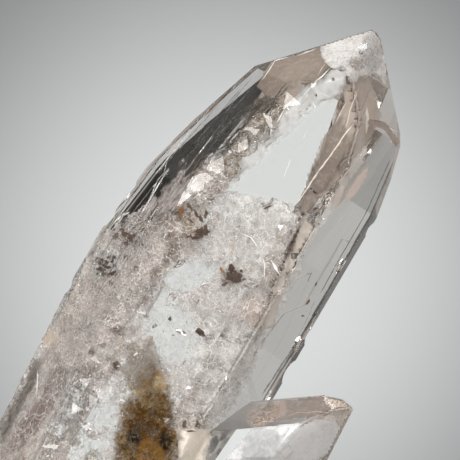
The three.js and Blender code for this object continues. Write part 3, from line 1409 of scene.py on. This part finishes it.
WHITE: Colour = (0.90, 0.89, 0.86)
MILK: Colour = (0.88, 0.84, 0.81)
PEARL: Colour = (0.80, 0.72, 0.67)
BEIGE: Colour = (0.76, 0.65, 0.53)
ROSE: Colour = (0.50, 0.41, 0.355)
PEACH: Colour = (0.80, 0.66, 0.56)
CLEAR: Colour = (0.80, 0.80, 0.785)
# Brown of the painted reflection on the right facet.
PAINTED_REFLECTION_BROWN: Colour = (0.50, 0.42, 0.36)
GOLD: Colour = (0.52, 0.34, 0.10)
UMBER: Colour = (0.035, 0.022, 0.014)


def dapples(outline: Sequence[Pixel], count: int, seed: int) -> list[Patch]:
    """Small patches of milky, pinkish and clear quartz, strewn over an outline.

    Args:
        outline: where they lie.
        count: how many there are.
        seed: sets their places, sizes and tones.

    Returns:
        The patches.
    """
    dice = random.Random(seed)
    columns = [x for x, _ in outline]
    rows = [y for _, y in outline]
    tones = ((WHITE, 0.9), (MILK, 0.8), (ROSE, 0.7), (BEIGE, 0.7), (CLEAR, 0.12), (WHITE, 0.9),
             (CLEAR, 0.2))
    found: list[Patch] = []
    while len(found) < count:
        at = (dice.uniform(min(columns), max(columns)), dice.uniform(min(rows), max(rows)))
        size = (dice.uniform(5, 17), dice.uniform(3, 7))
        turn, (colour, cover) = dice.uniform(-75, 10), dice.choice(tones)
        if within(outline, *at):
            found.append(Patch(at, size, turn, colour, cover, 0.25))
    return found


def milky_veils() -> list[VeilSheet]:
    """The milky veils behind the front of the large crystal.

    Returns:
        The sheets, the nearest first.
    """
    front = (
        Patch((160, 250), (50, 24), -50, ROSE, 0.75),
        Patch((250, 210), (54, 18), 10, WHITE, 0.85),
        Patch((236, 250), (34, 26), 0, MILK, 0.75),
        Patch((190, 276), (25, 13), -20, CLEAR, 0.12),
        Patch((170, 330), (26, 40), -28, CLEAR, 0.10),
        Patch((214, 352), (16, 40), 0, CLEAR, 0.28),
        Patch((254, 311), (13, 15), 0, PEACH, 0.85),
        Patch((245, 346), (28, 20), 0, WHITE, 0.85),
        Patch((84, 300), (26, 50), 25, BEIGE, 0.8),
        Patch((88, 420), (28, 44), 10, CLEAR, 0.08),
        Patch((193, 443), (22, 22), 0, BEIGE, 0.9),
        Patch((215, 400), (24, 20), 0, CLEAR, 0.15),
        Patch((226, 384), (32, 44), 15, WHITE, 0.75),
        *dapples(INTERIOR, 60, 41),
        Patch((244, 346), (21, 14), -15, WHITE, 0.85, 0.6),
        Patch((240, 228), (26, 13), 15, WHITE, 0.8, 0.6),
        Patch((34, 419), (10, 46), 34, (0.34, 0.25, 0.225), 0.9, 0.5),
        Patch((55, 382), (10, 20), 20, (0.42, 0.35, 0.31), 0.8, 0.5),
        Patch((170, 330), (20, 34), -28, CLEAR, 0.12),
        Patch((148, 412), (24, 60), 0, GOLD, 0.05),
    )
    middle = (
        Patch((160, 250), (54, 28), -50, ROSE, 0.8),
        Patch((190, 276), (26, 14), -20, CLEAR, 0.15),
        Patch((170, 330), (24, 38), -28, CLEAR, 0.18),
        Patch((88, 420), (26, 40), 10, CLEAR, 0.15),
        Patch((193, 443), (24, 24), 0, BEIGE, 0.9),
        Patch((235, 400), (26, 26), 0, CLEAR, 0.3),
        Patch((250, 330), (34, 50), 0, MILK, 0.75),
    )
    left = (
        Patch((135, 232), (30, 14), -30, ROSE, 0.9),
        *dapples(LEFT, 40, 42),
        Patch((34, 419), (10, 46), 34, (0.40, 0.30, 0.27), 0.97, 0.5),
        Patch((55, 382), (10, 20), 20, (0.42, 0.35, 0.31), 0.95, 0.5),
        Patch((70, 418), (11, 46), 24, (0.70, 0.72, 0.73), 0.95, 0.5),
    )
    return [
        VeilSheet("beige_veil", VeilFinish("beige_veil", grain=1.6, speck=0.1, mottle=0.25), BEIGE_SPOT, 0.8,
                  (0.98, 0.90, 0.79), 1.0, wave_mm=0.5, feather=6.0, ragged=6.0, step=2.0, seed=2.7),
        VeilSheet("front_veil", VeilFinish("front_veil", grain=1.7, mottle=0.65, cracks=0.8, fibre=0.5,
                                           warp=1.6), INTERIOR, 2.0, PEARL, 0.45, front, wave_mm=1.4,
                  seed=1.3),
        VeilSheet("middle_veil", VeilFinish("middle_veil", grain=1.2, mottle=0.7, cracks=0.8,
                                            crack_scale=0.3), INTERIOR, 4.5, PEARL, 0.5, middle,
                  wave_mm=2.2, seed=4.1),
        VeilSheet("back_veil", VeilFinish("back_veil", grain=1.1), INTERIOR, 10.0, MILK, 0.6, middle,
                  wave_mm=3.0, seed=7.9),
        VeilSheet("left_veil", VeilFinish("left_veil", grain=1.5, speck=0.1, mottle=0.9, fibre=0.4, warp=2.0),
                  LEFT, 3.6, (0.82, 0.73, 0.67), 1.0, left, wave_mm=1.4, feather=12.0, ragged=20.0, seed=3.3),
        VeilSheet("gap_veil", VeilFinish("gap_veil", grain=1.7, speck=0.6, mottle=1.0, fibre=0.4), GAP, 0.9,
                  (0.50, 0.435, 0.40), 0.95, wave_mm=0.4, wave_scale=0.05, feather=5.0, ragged=9.0, step=1.6,
                  seed=5.5),
        VeilSheet("sugar_veil", VeilFinish("sugar_veil", grain=2.0, speck=0.5, mottle=1.0, relief=1.0,
                                           fibre=0.4, warp=2.5, cracks=1.0, crack_scale=1.0),
                  SUGAR, 0.9, (0.84, 0.73, 0.67), 0.88, wave_mm=0.8, wave_scale=0.05, seed=9.2,
                  patches=(Patch((135, 232), (24, 14), -30, ROSE, 0.8),
                           Patch((104, 264), (16, 16), 0, WHITE, 0.9))),
    ]


def facet_painted_tones() -> list[VeilSheet]:
    """Smooth brownish and pale sheets of painted shade, painted reflection, painted light and painted
    highlight, which give facets their even tones.

    Returns:
        The sheets.
    """
    # Finish of the sheets of painted shade, reflection, light and highlight on the facets.
    smooth = VeilFinish("facet_painted_tone", grain=0.8, speck=0.12, mottle=0.12, relief=0.15)
    right = ((345, 69), (366, 66), (384, 116), (372, 140), (338, 182), (306, 216), (298, 212), (306, 180),
             (320, 140), (342, 105))
    left = ((255, 86), (272, 57), (322, 41), (334, 60), (318, 83), (297, 97), (284, 107), (266, 98))
    lower = ((222, 462), (250, 428), (300, 421), (334, 417), (352, 412), (350, 430), (334, 452), (312, 466))
    top = ((285, 101), (298, 90), (316, 78), (332, 68), (347, 71), (346, 98), (334, 103), (322, 106),
           (304, 122), (284, 140), (254, 168), (232, 190), (226, 186), (240, 158), (262, 136), (276, 124))
    corner = ((368, 118), (386, 121), (401, 142), (396, 149), (384, 131), (366, 124))
    border = ((300, 196), (306, 174), (314, 158), (320, 160), (315, 178), (306, 200))
    rhomb = ((280, 451), (289, 444), (294, 452), (285, 460))
    side = ((250, 425), (270, 398), (327, 394), (333, 401), (330, 415))
    ribbon = ((303, 215), (316, 226), (306, 248), (293, 272), (283, 298), (276, 328), (262, 332), (261, 318),
              (270, 296), (280, 268), (292, 245))
    lens = ((371, 162), (368, 178), (356, 196), (343, 207), (344, 194), (356, 175))
    small_lens = ((341, 182), (347, 186), (341, 205), (331, 214), (329, 205))
    shade = ((254, 98), (266, 92), (284, 97), (268, 114), (246, 134), (228, 156), (210, 178), (196, 184),
             (212, 158), (236, 130))
    margin = ((32, 358), (44, 356), (38, 380), (20, 412), (6, 445), (-3, 445), (-2, 426), (6, 416), (17, 393))
    return [
        # Painted reflection: a brownish sheet for the tone that the right facet mirrors, with a darker
        # painted shade down its middle.
        VeilSheet("right_painted_reflection", smooth, right, 2.2, PAINTED_REFLECTION_BROWN, 0.8, wave_mm=0.5, feather=2.5,
                  ragged=2.0, step=2.0, seed=2.0,
                  patches=(Patch((318, 172), (22, 56), 28, (0.26, 0.21, 0.175), 0.92),)),
        # Painted shade: a dark brown sheet that gives the upper-left facet its tone.
        VeilSheet("left_painted_shade", smooth, left, 1.0, (0.24, 0.19, 0.153), 0.92, wave_mm=0.3, feather=1.5,
                  ragged=1.5, step=1.6, seed=4.0,
                  patches=(Patch((300, 70), (24, 9), -25, (0.31, 0.25, 0.205), 0.9),)),
        # Painted shade: a brown sheet that darkens the upper face of the small crystal, lighter at its left
        # end.
        VeilSheet("side_painted_shade", smooth, side, 1.0, (0.22, 0.18, 0.158), 0.9, wave_mm=0.2, feather=2.0,
                  ragged=1.5, step=1.5, seed=6.0,
                  patches=(Patch((279, 408), (7, 11), 20, (0.38, 0.30, 0.265), 0.85),)),
        # Painted light: a pale sheet that brightens the lower face of the small crystal, with a darker
        # painted shade on its left part.
        VeilSheet("lower_painted_light", VeilFinish("lower_painted_light", grain=0.9, speck=0.15, mottle=0.25, relief=0.2,
                                           roughness=0.9, gloss=0.0), lower, 0.8, (0.86, 0.865, 0.87),
                  0.95, wave_mm=0.2, feather=3.0, ragged=2.0, step=2.0, seed=19.0,
                  patches=(Patch((262, 442), (22, 28), 40, (0.50, 0.505, 0.51), 0.95, 0.25),)),
        # Painted light: a pale grey sheet that gives the see-through window below the tip its even tone.
        VeilSheet("top_painted_light", VeilFinish("pale_painted_light", grain=0.7, speck=0.05, mottle=0.12, relief=0.15), top,
                  0.7, (0.56, 0.565, 0.56), 0.94, wave_mm=0.3, feather=6.0, ragged=5.0, step=1.6, seed=20.0),
        # Painted shade: a dark brown strip beside the right facet.
        VeilSheet("border_painted_shade", VeilFinish("border_painted_shade", grain=2.0, speck=0.6, mottle=0.6), border, 1.0,
                  (0.19, 0.15, 0.12), 0.85, wave_mm=0.2, feather=2.0, ragged=5.0, step=1.3, seed=25.0),
        # Painted highlight: a small white rhomb for a glint on the small crystal's lower face.
        VeilSheet("rhomb_painted_highlight", smooth, rhomb, 0.4, WHITE, 0.95, wave_mm=0.1, feather=1.0, ragged=0.5,
                  step=1.2, seed=26.0, margin_mm=0.1),
        # Painted shade: a dark brown sheet on the small corner facet at the upper right.
        VeilSheet("corner_painted_shade", smooth, corner, 0.5, (0.26, 0.19, 0.15), 0.85, wave_mm=0.1, feather=1.5,
                  ragged=1.0, step=1.3, seed=23.0, margin_mm=0.1),
        # Painted reflection: a beige ribbon that stands in for a mirrored tone.
        VeilSheet("ribbon_painted_reflection", smooth, ribbon, 1.5, (0.66, 0.59, 0.52), 0.75, wave_mm=0.6, feather=4.0,
                  ragged=3.0, step=2.0, seed=8.0),
        # Painted reflection: a peach lens-shaped sheet for a mirrored tone on the right side.
        VeilSheet("lens_painted_reflection", smooth, lens, 0.8, (0.84, 0.71, 0.64), 0.93, wave_mm=0.2, feather=2.0,
                  ragged=1.0, step=1.5, seed=12.0),
        # Painted reflection: a smaller peach lens-shaped sheet for a mirrored tone.
        VeilSheet("small_lens_painted_reflection", smooth, small_lens, 0.8, (0.84, 0.74, 0.68), 0.75, wave_mm=0.2,
                  feather=2.0, ragged=1.0, step=1.5, seed=13.0),
        # Painted shade: the dark band across the upper left of the crystal, a near-black sheet with brown
        # flecks.
        VeilSheet("shade_film", VeilFinish("shade_film", grain=1.4, speck=0.3, mottle=0.6, relief=0.8,
                                           light=(0.42, 0.33, 0.22)), shade, 1.2, (0.055, 0.042, 0.032), 0.95,
                  wave_mm=0.4, feather=3.0, ragged=5.0, step=1.6, seed=24.0),
        # Painted shade: a dark brown sheet on the narrow facet at the lower left edge.
        VeilSheet("margin_painted_shade", smooth, margin, 0.8, (0.10, 0.085, 0.07), 0.8, wave_mm=0.3, feather=4.0,
                  ragged=3.0, step=2.0, seed=14.0),
    ]


def crackle_veils() -> list[VeilSheet]:
    """White and coppery crackle: in the broken tip, along the ridge and at the small crystal's tip, where the
    coppery colour is partly a painted glint.

    Returns:
        The sheets.
    """
    crackle = VeilFinish("tip_crackle", grain=1.1, speck=0.3, mottle=0.8, relief=1.0, roughness=0.3,
                         cracks=1.0, crack_scale=0.7, warp=2.0)
    ridge = VeilFinish("ridge_crackle", grain=1.6, speck=0.6, mottle=0.8, relief=1.0, roughness=0.3,
                       light=(0.72, 0.58, 0.38), cracks=0.7, crack_scale=0.6)
    joint = ((244, 412), (258, 402), (280, 404), (282, 418), (262, 430), (248, 428))
    return [
        VeilSheet("tip_crackle", crackle, TIP, 0.4, (0.92, 0.89, 0.875), 0.93, wave_mm=0.3,
                  wave_scale=0.08, feather=3.0, ragged=7.0, step=1.3, seed=11.0, margin_mm=0.05,
                  patches=(Patch((336, 54), (20, 15), -25, (0.97, 0.96, 0.95), 0.98),
                           Patch((372, 52), (11, 20), 0, (0.68, 0.66, 0.65), 0.6),
                           Patch((358, 64), (8, 6), 0, (0.36, 0.30, 0.26), 0.75))),
        VeilSheet("deep_tip_crackle", crackle, TIP, 2.4, (0.90, 0.87, 0.86), 0.9, wave_mm=1.0,
                  wave_scale=0.08, feather=3.0, ragged=4.0, step=2.0, seed=15.0),
        VeilSheet("ridge_crackle", ridge, RIDGE, 0.9, (0.24, 0.18, 0.12), 0.85, wave_mm=0.8,
                  wave_scale=0.07, feather=4.0, ragged=5.0, step=1.5, seed=16.0),
        VeilSheet("knot_crackle", VeilFinish("knot_crackle", grain=1.5, speck=0.5, mottle=1.0, relief=1.0,
                                             cracks=0.9, crack_scale=0.7, fibre=0.5, warp=2.0), KNOT, 0.8,
                  (0.62, 0.53, 0.48), 0.9, wave_mm=0.5, wave_scale=0.07, feather=5.0, ragged=7.0, step=1.5,
                  seed=27.0),
        # Chipped tip of the small crystal; its coppery colour is partly a painted glint.
        VeilSheet("chip_crackle_and_glint", ridge, CHIPS, 0.6, (0.84, 0.71, 0.62), 0.9, wave_mm=0.3,
                  wave_scale=0.08, feather=2.0, ragged=2.0, step=1.5, seed=17.0),
        VeilSheet("joint_crackle", ridge, joint, 0.6, (0.56, 0.40, 0.30), 0.5, wave_mm=0.3,
                  wave_scale=0.08, feather=3.0, ragged=4.0, step=1.5, seed=18.0),
    ]


def iron_stain() -> list[VeilSheet]:
    """The iron-stained mass in the foot of the large crystal.

    Returns:
        Its near and its far sheet.
    """
    stained = VeilFinish("iron_stain", grain=1.0, speck=0.4, mottle=0.5, relief=1.0, roughness=0.6,
                         light=(0.40, 0.24, 0.06), gloss=0.0, fibre=0.6, warp=1.5)
    mass = ((108, 336), (152, 334), (164, 362), (174, 378), (176, 404), (174, 420), (180, 444), (176, 470),
            (110, 470), (113, 436), (122, 404), (128, 392), (116, 364))
    near = (
        Patch((132, 354), (24, 22), 0, (0.30, 0.235, 0.165), 0.42, 0.7),
        Patch((118, 350), (9, 14), 0, CLEAR, 0.05, 0.7),
        Patch((138, 394), (7, 8), 0, (0.40, 0.26, 0.08), 0.75),
        Patch((161, 383), (7, 12), 15, (0.42, 0.28, 0.10), 0.8),
        Patch((148, 424), (19, 22), 0, (0.12, 0.052, 0.005), 0.98),
        Patch((150, 452), (14, 14), 0, (0.26, 0.13, 0.025), 0.95),
        Patch((134, 437), (7, 9), 0, UMBER, 0.97),
        Patch((166, 440), (6, 9), 0, UMBER, 0.95),
        Patch((150, 404), (10, 7), 20, (0.20, 0.12, 0.04), 0.9),
    )
    return [
        VeilSheet("near_iron_stain", stained, mass, 0.8, (0.20, 0.108, 0.022), 0.85, near, wave_mm=0.8,
                  wave_scale=0.06, feather=12.0, ragged=15.0, step=1.8, seed=21.0, slot=Slot.IRON),
        VeilSheet("far_iron_stain", stained, mass, 2.4, (0.17, 0.10, 0.03), 0.9, near, wave_mm=1.4,
                  wave_scale=0.06, feather=10.0, ragged=8.0, step=2.2, seed=22.0, slot=Slot.IRON),
    ]


def oval(at: Pixel, size: Pixel, corners: int = 12) -> list[Pixel]:
    """The outline of an oval in photograph pixels.

    Args:
        at: its middle.
        size: its half width and half height.
        corners: how many corners it has.

    Returns:
        The corners in order.
    """
    turns = [FULL_TURN * number / corners for number in range(corners)]
    return [(at[0] + size[0] * math.cos(turn), at[1] + size[1] * math.sin(turn)) for turn in turns]


def golden_tints() -> list[VeilSheet]:
    """Faint yellow and brown tints round the flakes and in the knob.

    Returns:
        The sheets.
    """
    tint = VeilFinish("golden_tint", grain=1.6, speck=0.5, mottle=0.4, relief=0.4)
    under = ((176, 214), (196, 212), (208, 232), (196, 246), (178, 236))
    knob = ((41, 330), (50, 326), (58, 334), (56, 348), (46, 351), (40, 342))
    brown = (((124, 235), (13, 10)), ((200, 234), (10, 9)), ((117, 332), (9, 7)), ((232, 276), (13, 12)),
             ((114, 366), (7, 8)), ((222, 262), (8, 6)), ((147, 300), (7, 9)))
    return [
        VeilSheet("flake_tint", tint, under, 0.9, GOLD, 0.28, feather=6.0, ragged=5.0, wave_mm=0.3, step=1.8,
                  seed=31.0, slot=Slot.IRON),
        VeilSheet("knob_tint", tint, knob, 0.5, (0.80, 0.66, 0.50), 0.65, feather=4.0, ragged=2.0,
                  wave_mm=0.2, step=1.5, seed=32.0, slot=Slot.IRON),
        *(VeilSheet(f"brown_tint_{number}", tint, oval(at, size), 1.6, (0.20, 0.12, 0.08), 0.6, feather=5.0,
                    ragged=5.0, wave_mm=0.3, step=1.5, seed=33.0 + number, slot=Slot.IRON)
          for number, (at, size) in enumerate(brown, 1)),
    ]


def grain_clouds() -> list[tuple[str, GrainCloud]]:
    """The grains, each cloud with the name of the veil that it lies on.

    Returns:
        Pairs of veil name and cloud.
    """
    # White grains: real white specks, and in the sparkle clouds partly painted glints.
    white = MineralFinish("white_grain_and_glint", ((0.95, 0.94, 0.92), (0.88, 0.86, 0.83), (0.98, 0.98, 0.97)),
                          2.0, 0.15)
    warm = MineralFinish("warm_grain", ((0.74, 0.64, 0.55), (0.62, 0.50, 0.42), (0.85, 0.78, 0.70)),
                         2.0, 0.3)
    dust = MineralFinish("dark_dust", ((0.10, 0.06, 0.04), (0.05, 0.03, 0.02), (0.22, 0.13, 0.07)),
                         2.0, 0.5)
    return [
        ("front_veil", GrainCloud("front_sparkle", white, 1.6, (0.05, 0.16), 0.7, 11)),
        ("middle_veil", GrainCloud("warm_grains", warm, 1.6, (0.06, 0.22), 1.2, 12)),
        ("sugar_veil", GrainCloud("sugar_grains", white, 5.0, (0.05, 0.17), 0.4, 13)),
        ("tip_crackle", GrainCloud("tip_sparkle", white, 6.0, (0.05, 0.2), 0.5, 14)),
        ("left_veil", GrainCloud("left_sparkle", white, 2.0, (0.06, 0.26), 1.2, 17)),
        ("left_veil", GrainCloud("left_dust", dust, 0.35, (0.05, 0.22), 1.2, 18, Slot.DARK)),
        ("middle_veil", GrainCloud("dark_dust", dust, 0.12, (0.05, 0.2), 1.0, 15, Slot.DARK)),
        ("near_iron_stain", GrainCloud("stain_dust", dust, 2.0, (0.06, 0.22), 0.6, 16, Slot.IRON)),
    ]


def crack_sets() -> list[CrackSet]:
    """The open cracks."""
    return [
        CrackSet(TIP, 90, (0.4, 1.6), (0.5, 2.5), spread=0.7, seed=3),
        CrackSet(RIDGE, 40, (0.4, 1.5), (0.6, 3.0), spread=0.5, seed=4),
        CrackSet(KNOT, 22, (0.4, 1.1), (0.4, 0.8), spread=0.6, seed=10),
        CrackSet(INTERIOR, 60, (0.4, 1.6), (0.8, 6.0), spread=0.5, seed=5),
        CrackSet(SUGAR, 70, (0.3, 1.1), (0.5, 2.0), spread=0.6, seed=6),
        CrackSet(oval((106, 265), (14, 13)), 24, (0.3, 0.9), (0.4, 0.9), spread=0.8, seed=9),
        CrackSet(CHIPS, 16, (0.3, 0.9), (0.5, 2.0), spread=0.7, seed=7),
    ]


def flake_sets() -> list[FlakeSet]:
    """The dark and rusty flakes.

    Returns:
        One set for each mineral.
    """
    dark = MineralFinish("dark_flake", ((0.030, 0.018, 0.012), (0.075, 0.040, 0.022),
                                        (0.16, 0.09, 0.045)), 3.0, 0.35)
    rust = MineralFinish("rust_flake", ((0.22, 0.10, 0.04), (0.10, 0.045, 0.02), (0.38, 0.20, 0.08)),
                         3.0, 0.35)
    return [
        FlakeSet("dark_flakes", dark, (
            FlakeSpot((190, 207), (5.5, 1.8), 55), FlakeSpot((196, 214), (5, 1.5), 62),
            FlakeSpot((201, 219), (5, 2.0), 70),
            FlakeSpot((206, 214), (2, 4.5), 12), FlakeSpot((191, 221), (4.5, 1.0), 30),
            FlakeSpot((202, 232), (9, 5), -25, pieces=16),
            FlakeSpot((192, 236), (8, 3), 15, pieces=10), FlakeSpot((126, 236), (8, 6), 40, pieces=12),
            FlakeSpot((122, 222), (5, 3), 0, pieces=5),
            FlakeSpot((233, 277), (9.5, 6.0), 12), FlakeSpot((231, 269), (5.5, 4.2), 75),
            FlakeSpot((225, 284), (5, 2.0), -30),
            FlakeSpot((238, 275), (8, 6), 0, pieces=6, share=(0.12, 0.3)),
            FlakeSpot((199, 332), (6, 4), 30), FlakeSpot((203, 334), (2.2, 3.5), 0),
            FlakeSpot((170, 319), (2, 2.6), 0),
            FlakeSpot((141, 245), (3, 2.5), 0), FlakeSpot((153, 295), (1.8, 4.5), 10, pieces=3),
            FlakeSpot((117, 331), (6, 3), 30, pieces=5), FlakeSpot((116, 365), (3.4, 4.4), 0),
            FlakeSpot((184, 425), (2.4, 5), 10), FlakeSpot((198, 424), (2.0, 4.6), -10),
            FlakeSpot((191, 431), (6, 1.2), 0),
            FlakeSpot((106, 265), (13, 12), 0, 0.45, 64, (0.07, 0.2)), FlakeSpot((268, 207), (5, 1.2), -25),
            FlakeSpot((229, 177), (3.5, 2.2), 60), FlakeSpot((134, 437), (4, 6), 0, 0.8, 5),
            FlakeSpot((166, 440), (4, 6), 0, 0.8, 5),
        )),
        FlakeSet("rust_flakes", rust, (
            FlakeSpot((181, 211), (8, 3.2), -68), FlakeSpot((204, 336), (2, 1.2), 0),
            FlakeSpot((308, 302), (4, 1.2), -55),
            FlakeSpot((315, 315), (4, 1.2), -50), FlakeSpot((316, 284), (3, 1.0), -60),
            FlakeSpot((303, 316), (2, 1), 0),
            FlakeSpot((222, 270), (4, 1.6), 50), FlakeSpot((246, 286), (3, 1.3), 20),
            FlakeSpot((128, 238), (5, 3), 10, pieces=3),
        ), slot=Slot.IRON, seed=8),
    ]


def line_sets() -> list[LineSet]:
    """The fine lines, some of them painted highlights and glints along edges.

    Returns:
        One set for each colour.
    """
    cream = MineralFinish("cream_nick_and_highlight", ((0.90, 0.82, 0.70), (0.84, 0.76, 0.66), (0.95, 0.92, 0.88)),
                          1.5, 0.3, 0.85)
    white = MineralFinish("white_crack_and_glint", ((0.97, 0.97, 0.95), (0.92, 0.91, 0.89), (0.98, 0.98, 0.97)),
                          1.5, 0.2, 0.9)
    brown = MineralFinish("brown_needle", ((0.12, 0.07, 0.04), (0.20, 0.13, 0.08), (0.07, 0.04, 0.03)),
                          2.0, 0.4, 0.9)
    grey = MineralFinish("grey_line", ((0.07, 0.07, 0.065), (0.10, 0.10, 0.09), (0.05, 0.05, 0.05)),
                         1.5, 0.4, 0.7)
    dice = random.Random(21)
    streaks = StrokeBand(44, (250, 96), (-66, 76), (0.75, 0.6), 13, (0.64, -0.77), (8, 22),
                         (0.5, 1.3)).lines(dice)
    grain = StrokeBand(24, (361, 88), (-46, 104), (0.9, 0.4), 15, (0.41, -0.91), (6, 18),
                       (0.4, 0.9), 1.6).lines(dice)
    strip = tuple(Line(((222 - 9 * k, 100 + 10 * k), (204 - 9 * k, 122 + 10 * k)), 1.0) for k in range(6))
    strokes = tuple(Line(((218 - 7 * k, 148 + 2 * k), (196 - 7 * k, 184 + 2 * k)), 1.1) for k in range(4))
    return [
        # Cream lines along the edges of the window: small nicks, and painted highlights on the edges.
        LineSet("cream_nick_and_highlights", cream, (
            Line(((346, 102), (341, 112), (335, 124)), 1.4),
            Line(((353, 124), (341, 140), (327, 160), (314, 178), (305, 192), (295, 206)), 1.8),
            Line(((367, 107), (368, 120), (366, 134)), 4.0),
            Line(((360, 86), (350, 110), (346, 128)), 0.9),
            Line(((372, 138), (352, 166), (338, 184)), 1.2),
        )),
        # White lines: fine cracks, and painted glints on nicks and edges of the upper facets and of the small
        # crystal.
        LineSet("white_crack_and_glints", white, (
            Line(((240, 233), (251, 238), (259, 248)), 1.2),
            Line(((262, 256), (265, 266), (264, 280)), 1.0),
            Line(((271, 260), (276, 268), (280, 276)), 3.2), Line(((262, 80), (275, 61), (290, 56)), 0.9),
            Line(((298, 55), (318, 48)), 1.2), Line(((292, 101), (286, 106), (276, 124)), 1.2),
            Line(((330, 68), (316, 82), (303, 96)), 1.2), Line(((326, 62), (318, 76)), 0.8),
            Line(((391, 131), (391, 143)), 2.2), Line(((384, 126), (398, 132)), 1.0),
            Line(((300, 112), (307, 119)), 1.2), Line(((312, 100), (317, 111)), 1.4),
            Line(((318, 92), (330, 97)), 1.0),
            Line(((291, 158), (284, 177)), 0.8), Line(((322, 84), (330, 80)), 1.8),
            Line(((308, 128), (303, 140)), 0.7),
            Line(((112, 225), (120, 217), (130, 212)), 2.4),
            Line(((283, 440), (297, 424)), 4.0),
            Line(((168, 160), (164, 172)), 1.2), Line(((160, 176), (154, 188), (150, 198)), 1.3),
            Line(((37, 370), (36, 398)), 1.6), Line(((143, 205), (138, 214)), 1.0),
        ), seed=6.0),
        LineSet("brown_needles", brown, (
            Line(((203, 118), (214, 107), (226, 96)), 1.4),
            Line(((368, 119), (378, 121), (387, 127)), 1.8), *strokes,
        ), slot=Slot.DARK, seed=7.0),
        # Painted highlights: coppery and white glints along the edges of the small crystal.
        LineSet("copper_edge_glints", MineralFinish("copper_edge_glint", ((0.60, 0.44, 0.33), (0.46, 0.33, 0.24),
                                                              (0.94, 0.90, 0.85)), 2.5, 0.3, 0.9), (
            Line(((256, 424), (266, 421), (272, 422)), 0.8, 0.4),
            Line(((286, 416), (300, 412), (312, 413)), 0.7, 0.4),
            Line(((304, 413), (318, 411), (330, 415)), 0.9, 0.4), Line(((309, 409), (318, 415)), 0.7, 0.4),
            Line(((333, 416), (344, 408), (352, 409)), 1.1, 0.4),
            Line(((327, 399), (338, 403), (350, 409)), 0.8, 0.4),
            Line(((352, 410), (349, 420), (345, 430)), 1.2, 0.4),
            Line(((262, 410), (268, 416), (266, 423)), 0.9, 0.4),
            Line(((256, 418), (262, 417), (268, 424)), 0.8, 0.4),
            Line(((335, 400), (340, 410), (348, 414)), 1.0, 0.4),
        ), slot=Slot.IRON, seed=11.0),
        LineSet("band_streaks", MineralFinish("band_streak", ((0.02, 0.018, 0.016), (0.20, 0.185, 0.16),
                                                              (0.42, 0.39, 0.35)), 1.5, 0.4, 0.6), streaks,
                seed=9.0, waver=0.4),
        LineSet("film_streaks", MineralFinish("film_streak", ((0.26, 0.21, 0.17), (0.20, 0.16, 0.13),
                                                              (0.50, 0.44, 0.38)), 1.5, 0.4, 0.45), grain,
                seed=12.0, waver=0.6),
        LineSet("strip_streaks", MineralFinish("strip_streak", ((0.30, 0.26, 0.22), (0.22, 0.18, 0.15),
                                                                (0.40, 0.36, 0.31)), 1.5, 0.4, 0.7), strip,
                seed=10.0, waver=1.2),
        LineSet("grey_lines", grey, (
            Line(((394, 160), (386, 180), (370, 217), (346, 258), (325, 296), (302, 335), (281, 366),
                  (262, 395)), 2.2, 0.5),
            Line(((391, 158), (381, 180), (365, 215), (341, 256), (320, 294)), 1.2, 0.5),
        ), slot=Slot.DARK, seed=8.0, waver=0.4),
    ]


def main() -> None:
    """Builds the specimen and its studio."""
    logging.basicConfig(level=logging.INFO, format="%(name)s %(message)s")
    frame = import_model()
    node = frame["nodes"][NODE]
    sight = Sight(node)
    Studio().build()
    QuartzSurface().build(node, QuartzFinish(), [cracks.mesh(sight) for cracks in crack_sets()])
    sheets = [*milky_veils(), *facet_painted_tones(), *crackle_veils(), *iron_stain(), *golden_tints()]
    veils = {sheet.name: sheet.build(sight) for sheet in sheets}
    # Painted light: pale layers above the foot, which would otherwise show black from behind.
    FootPaintedLight(VeilFinish("foot_painted_light", grain=1.2, speck=0.2, mottle=0.6)).build(sight)
    for carrier, cloud in grain_clouds():
        cloud.build(veils[carrier], sight)
    for flakes in flake_sets():
        flakes.build(sight)
    for lines in line_sets():
        lines.build(sight)


if __name__ == "__main__":
    main()
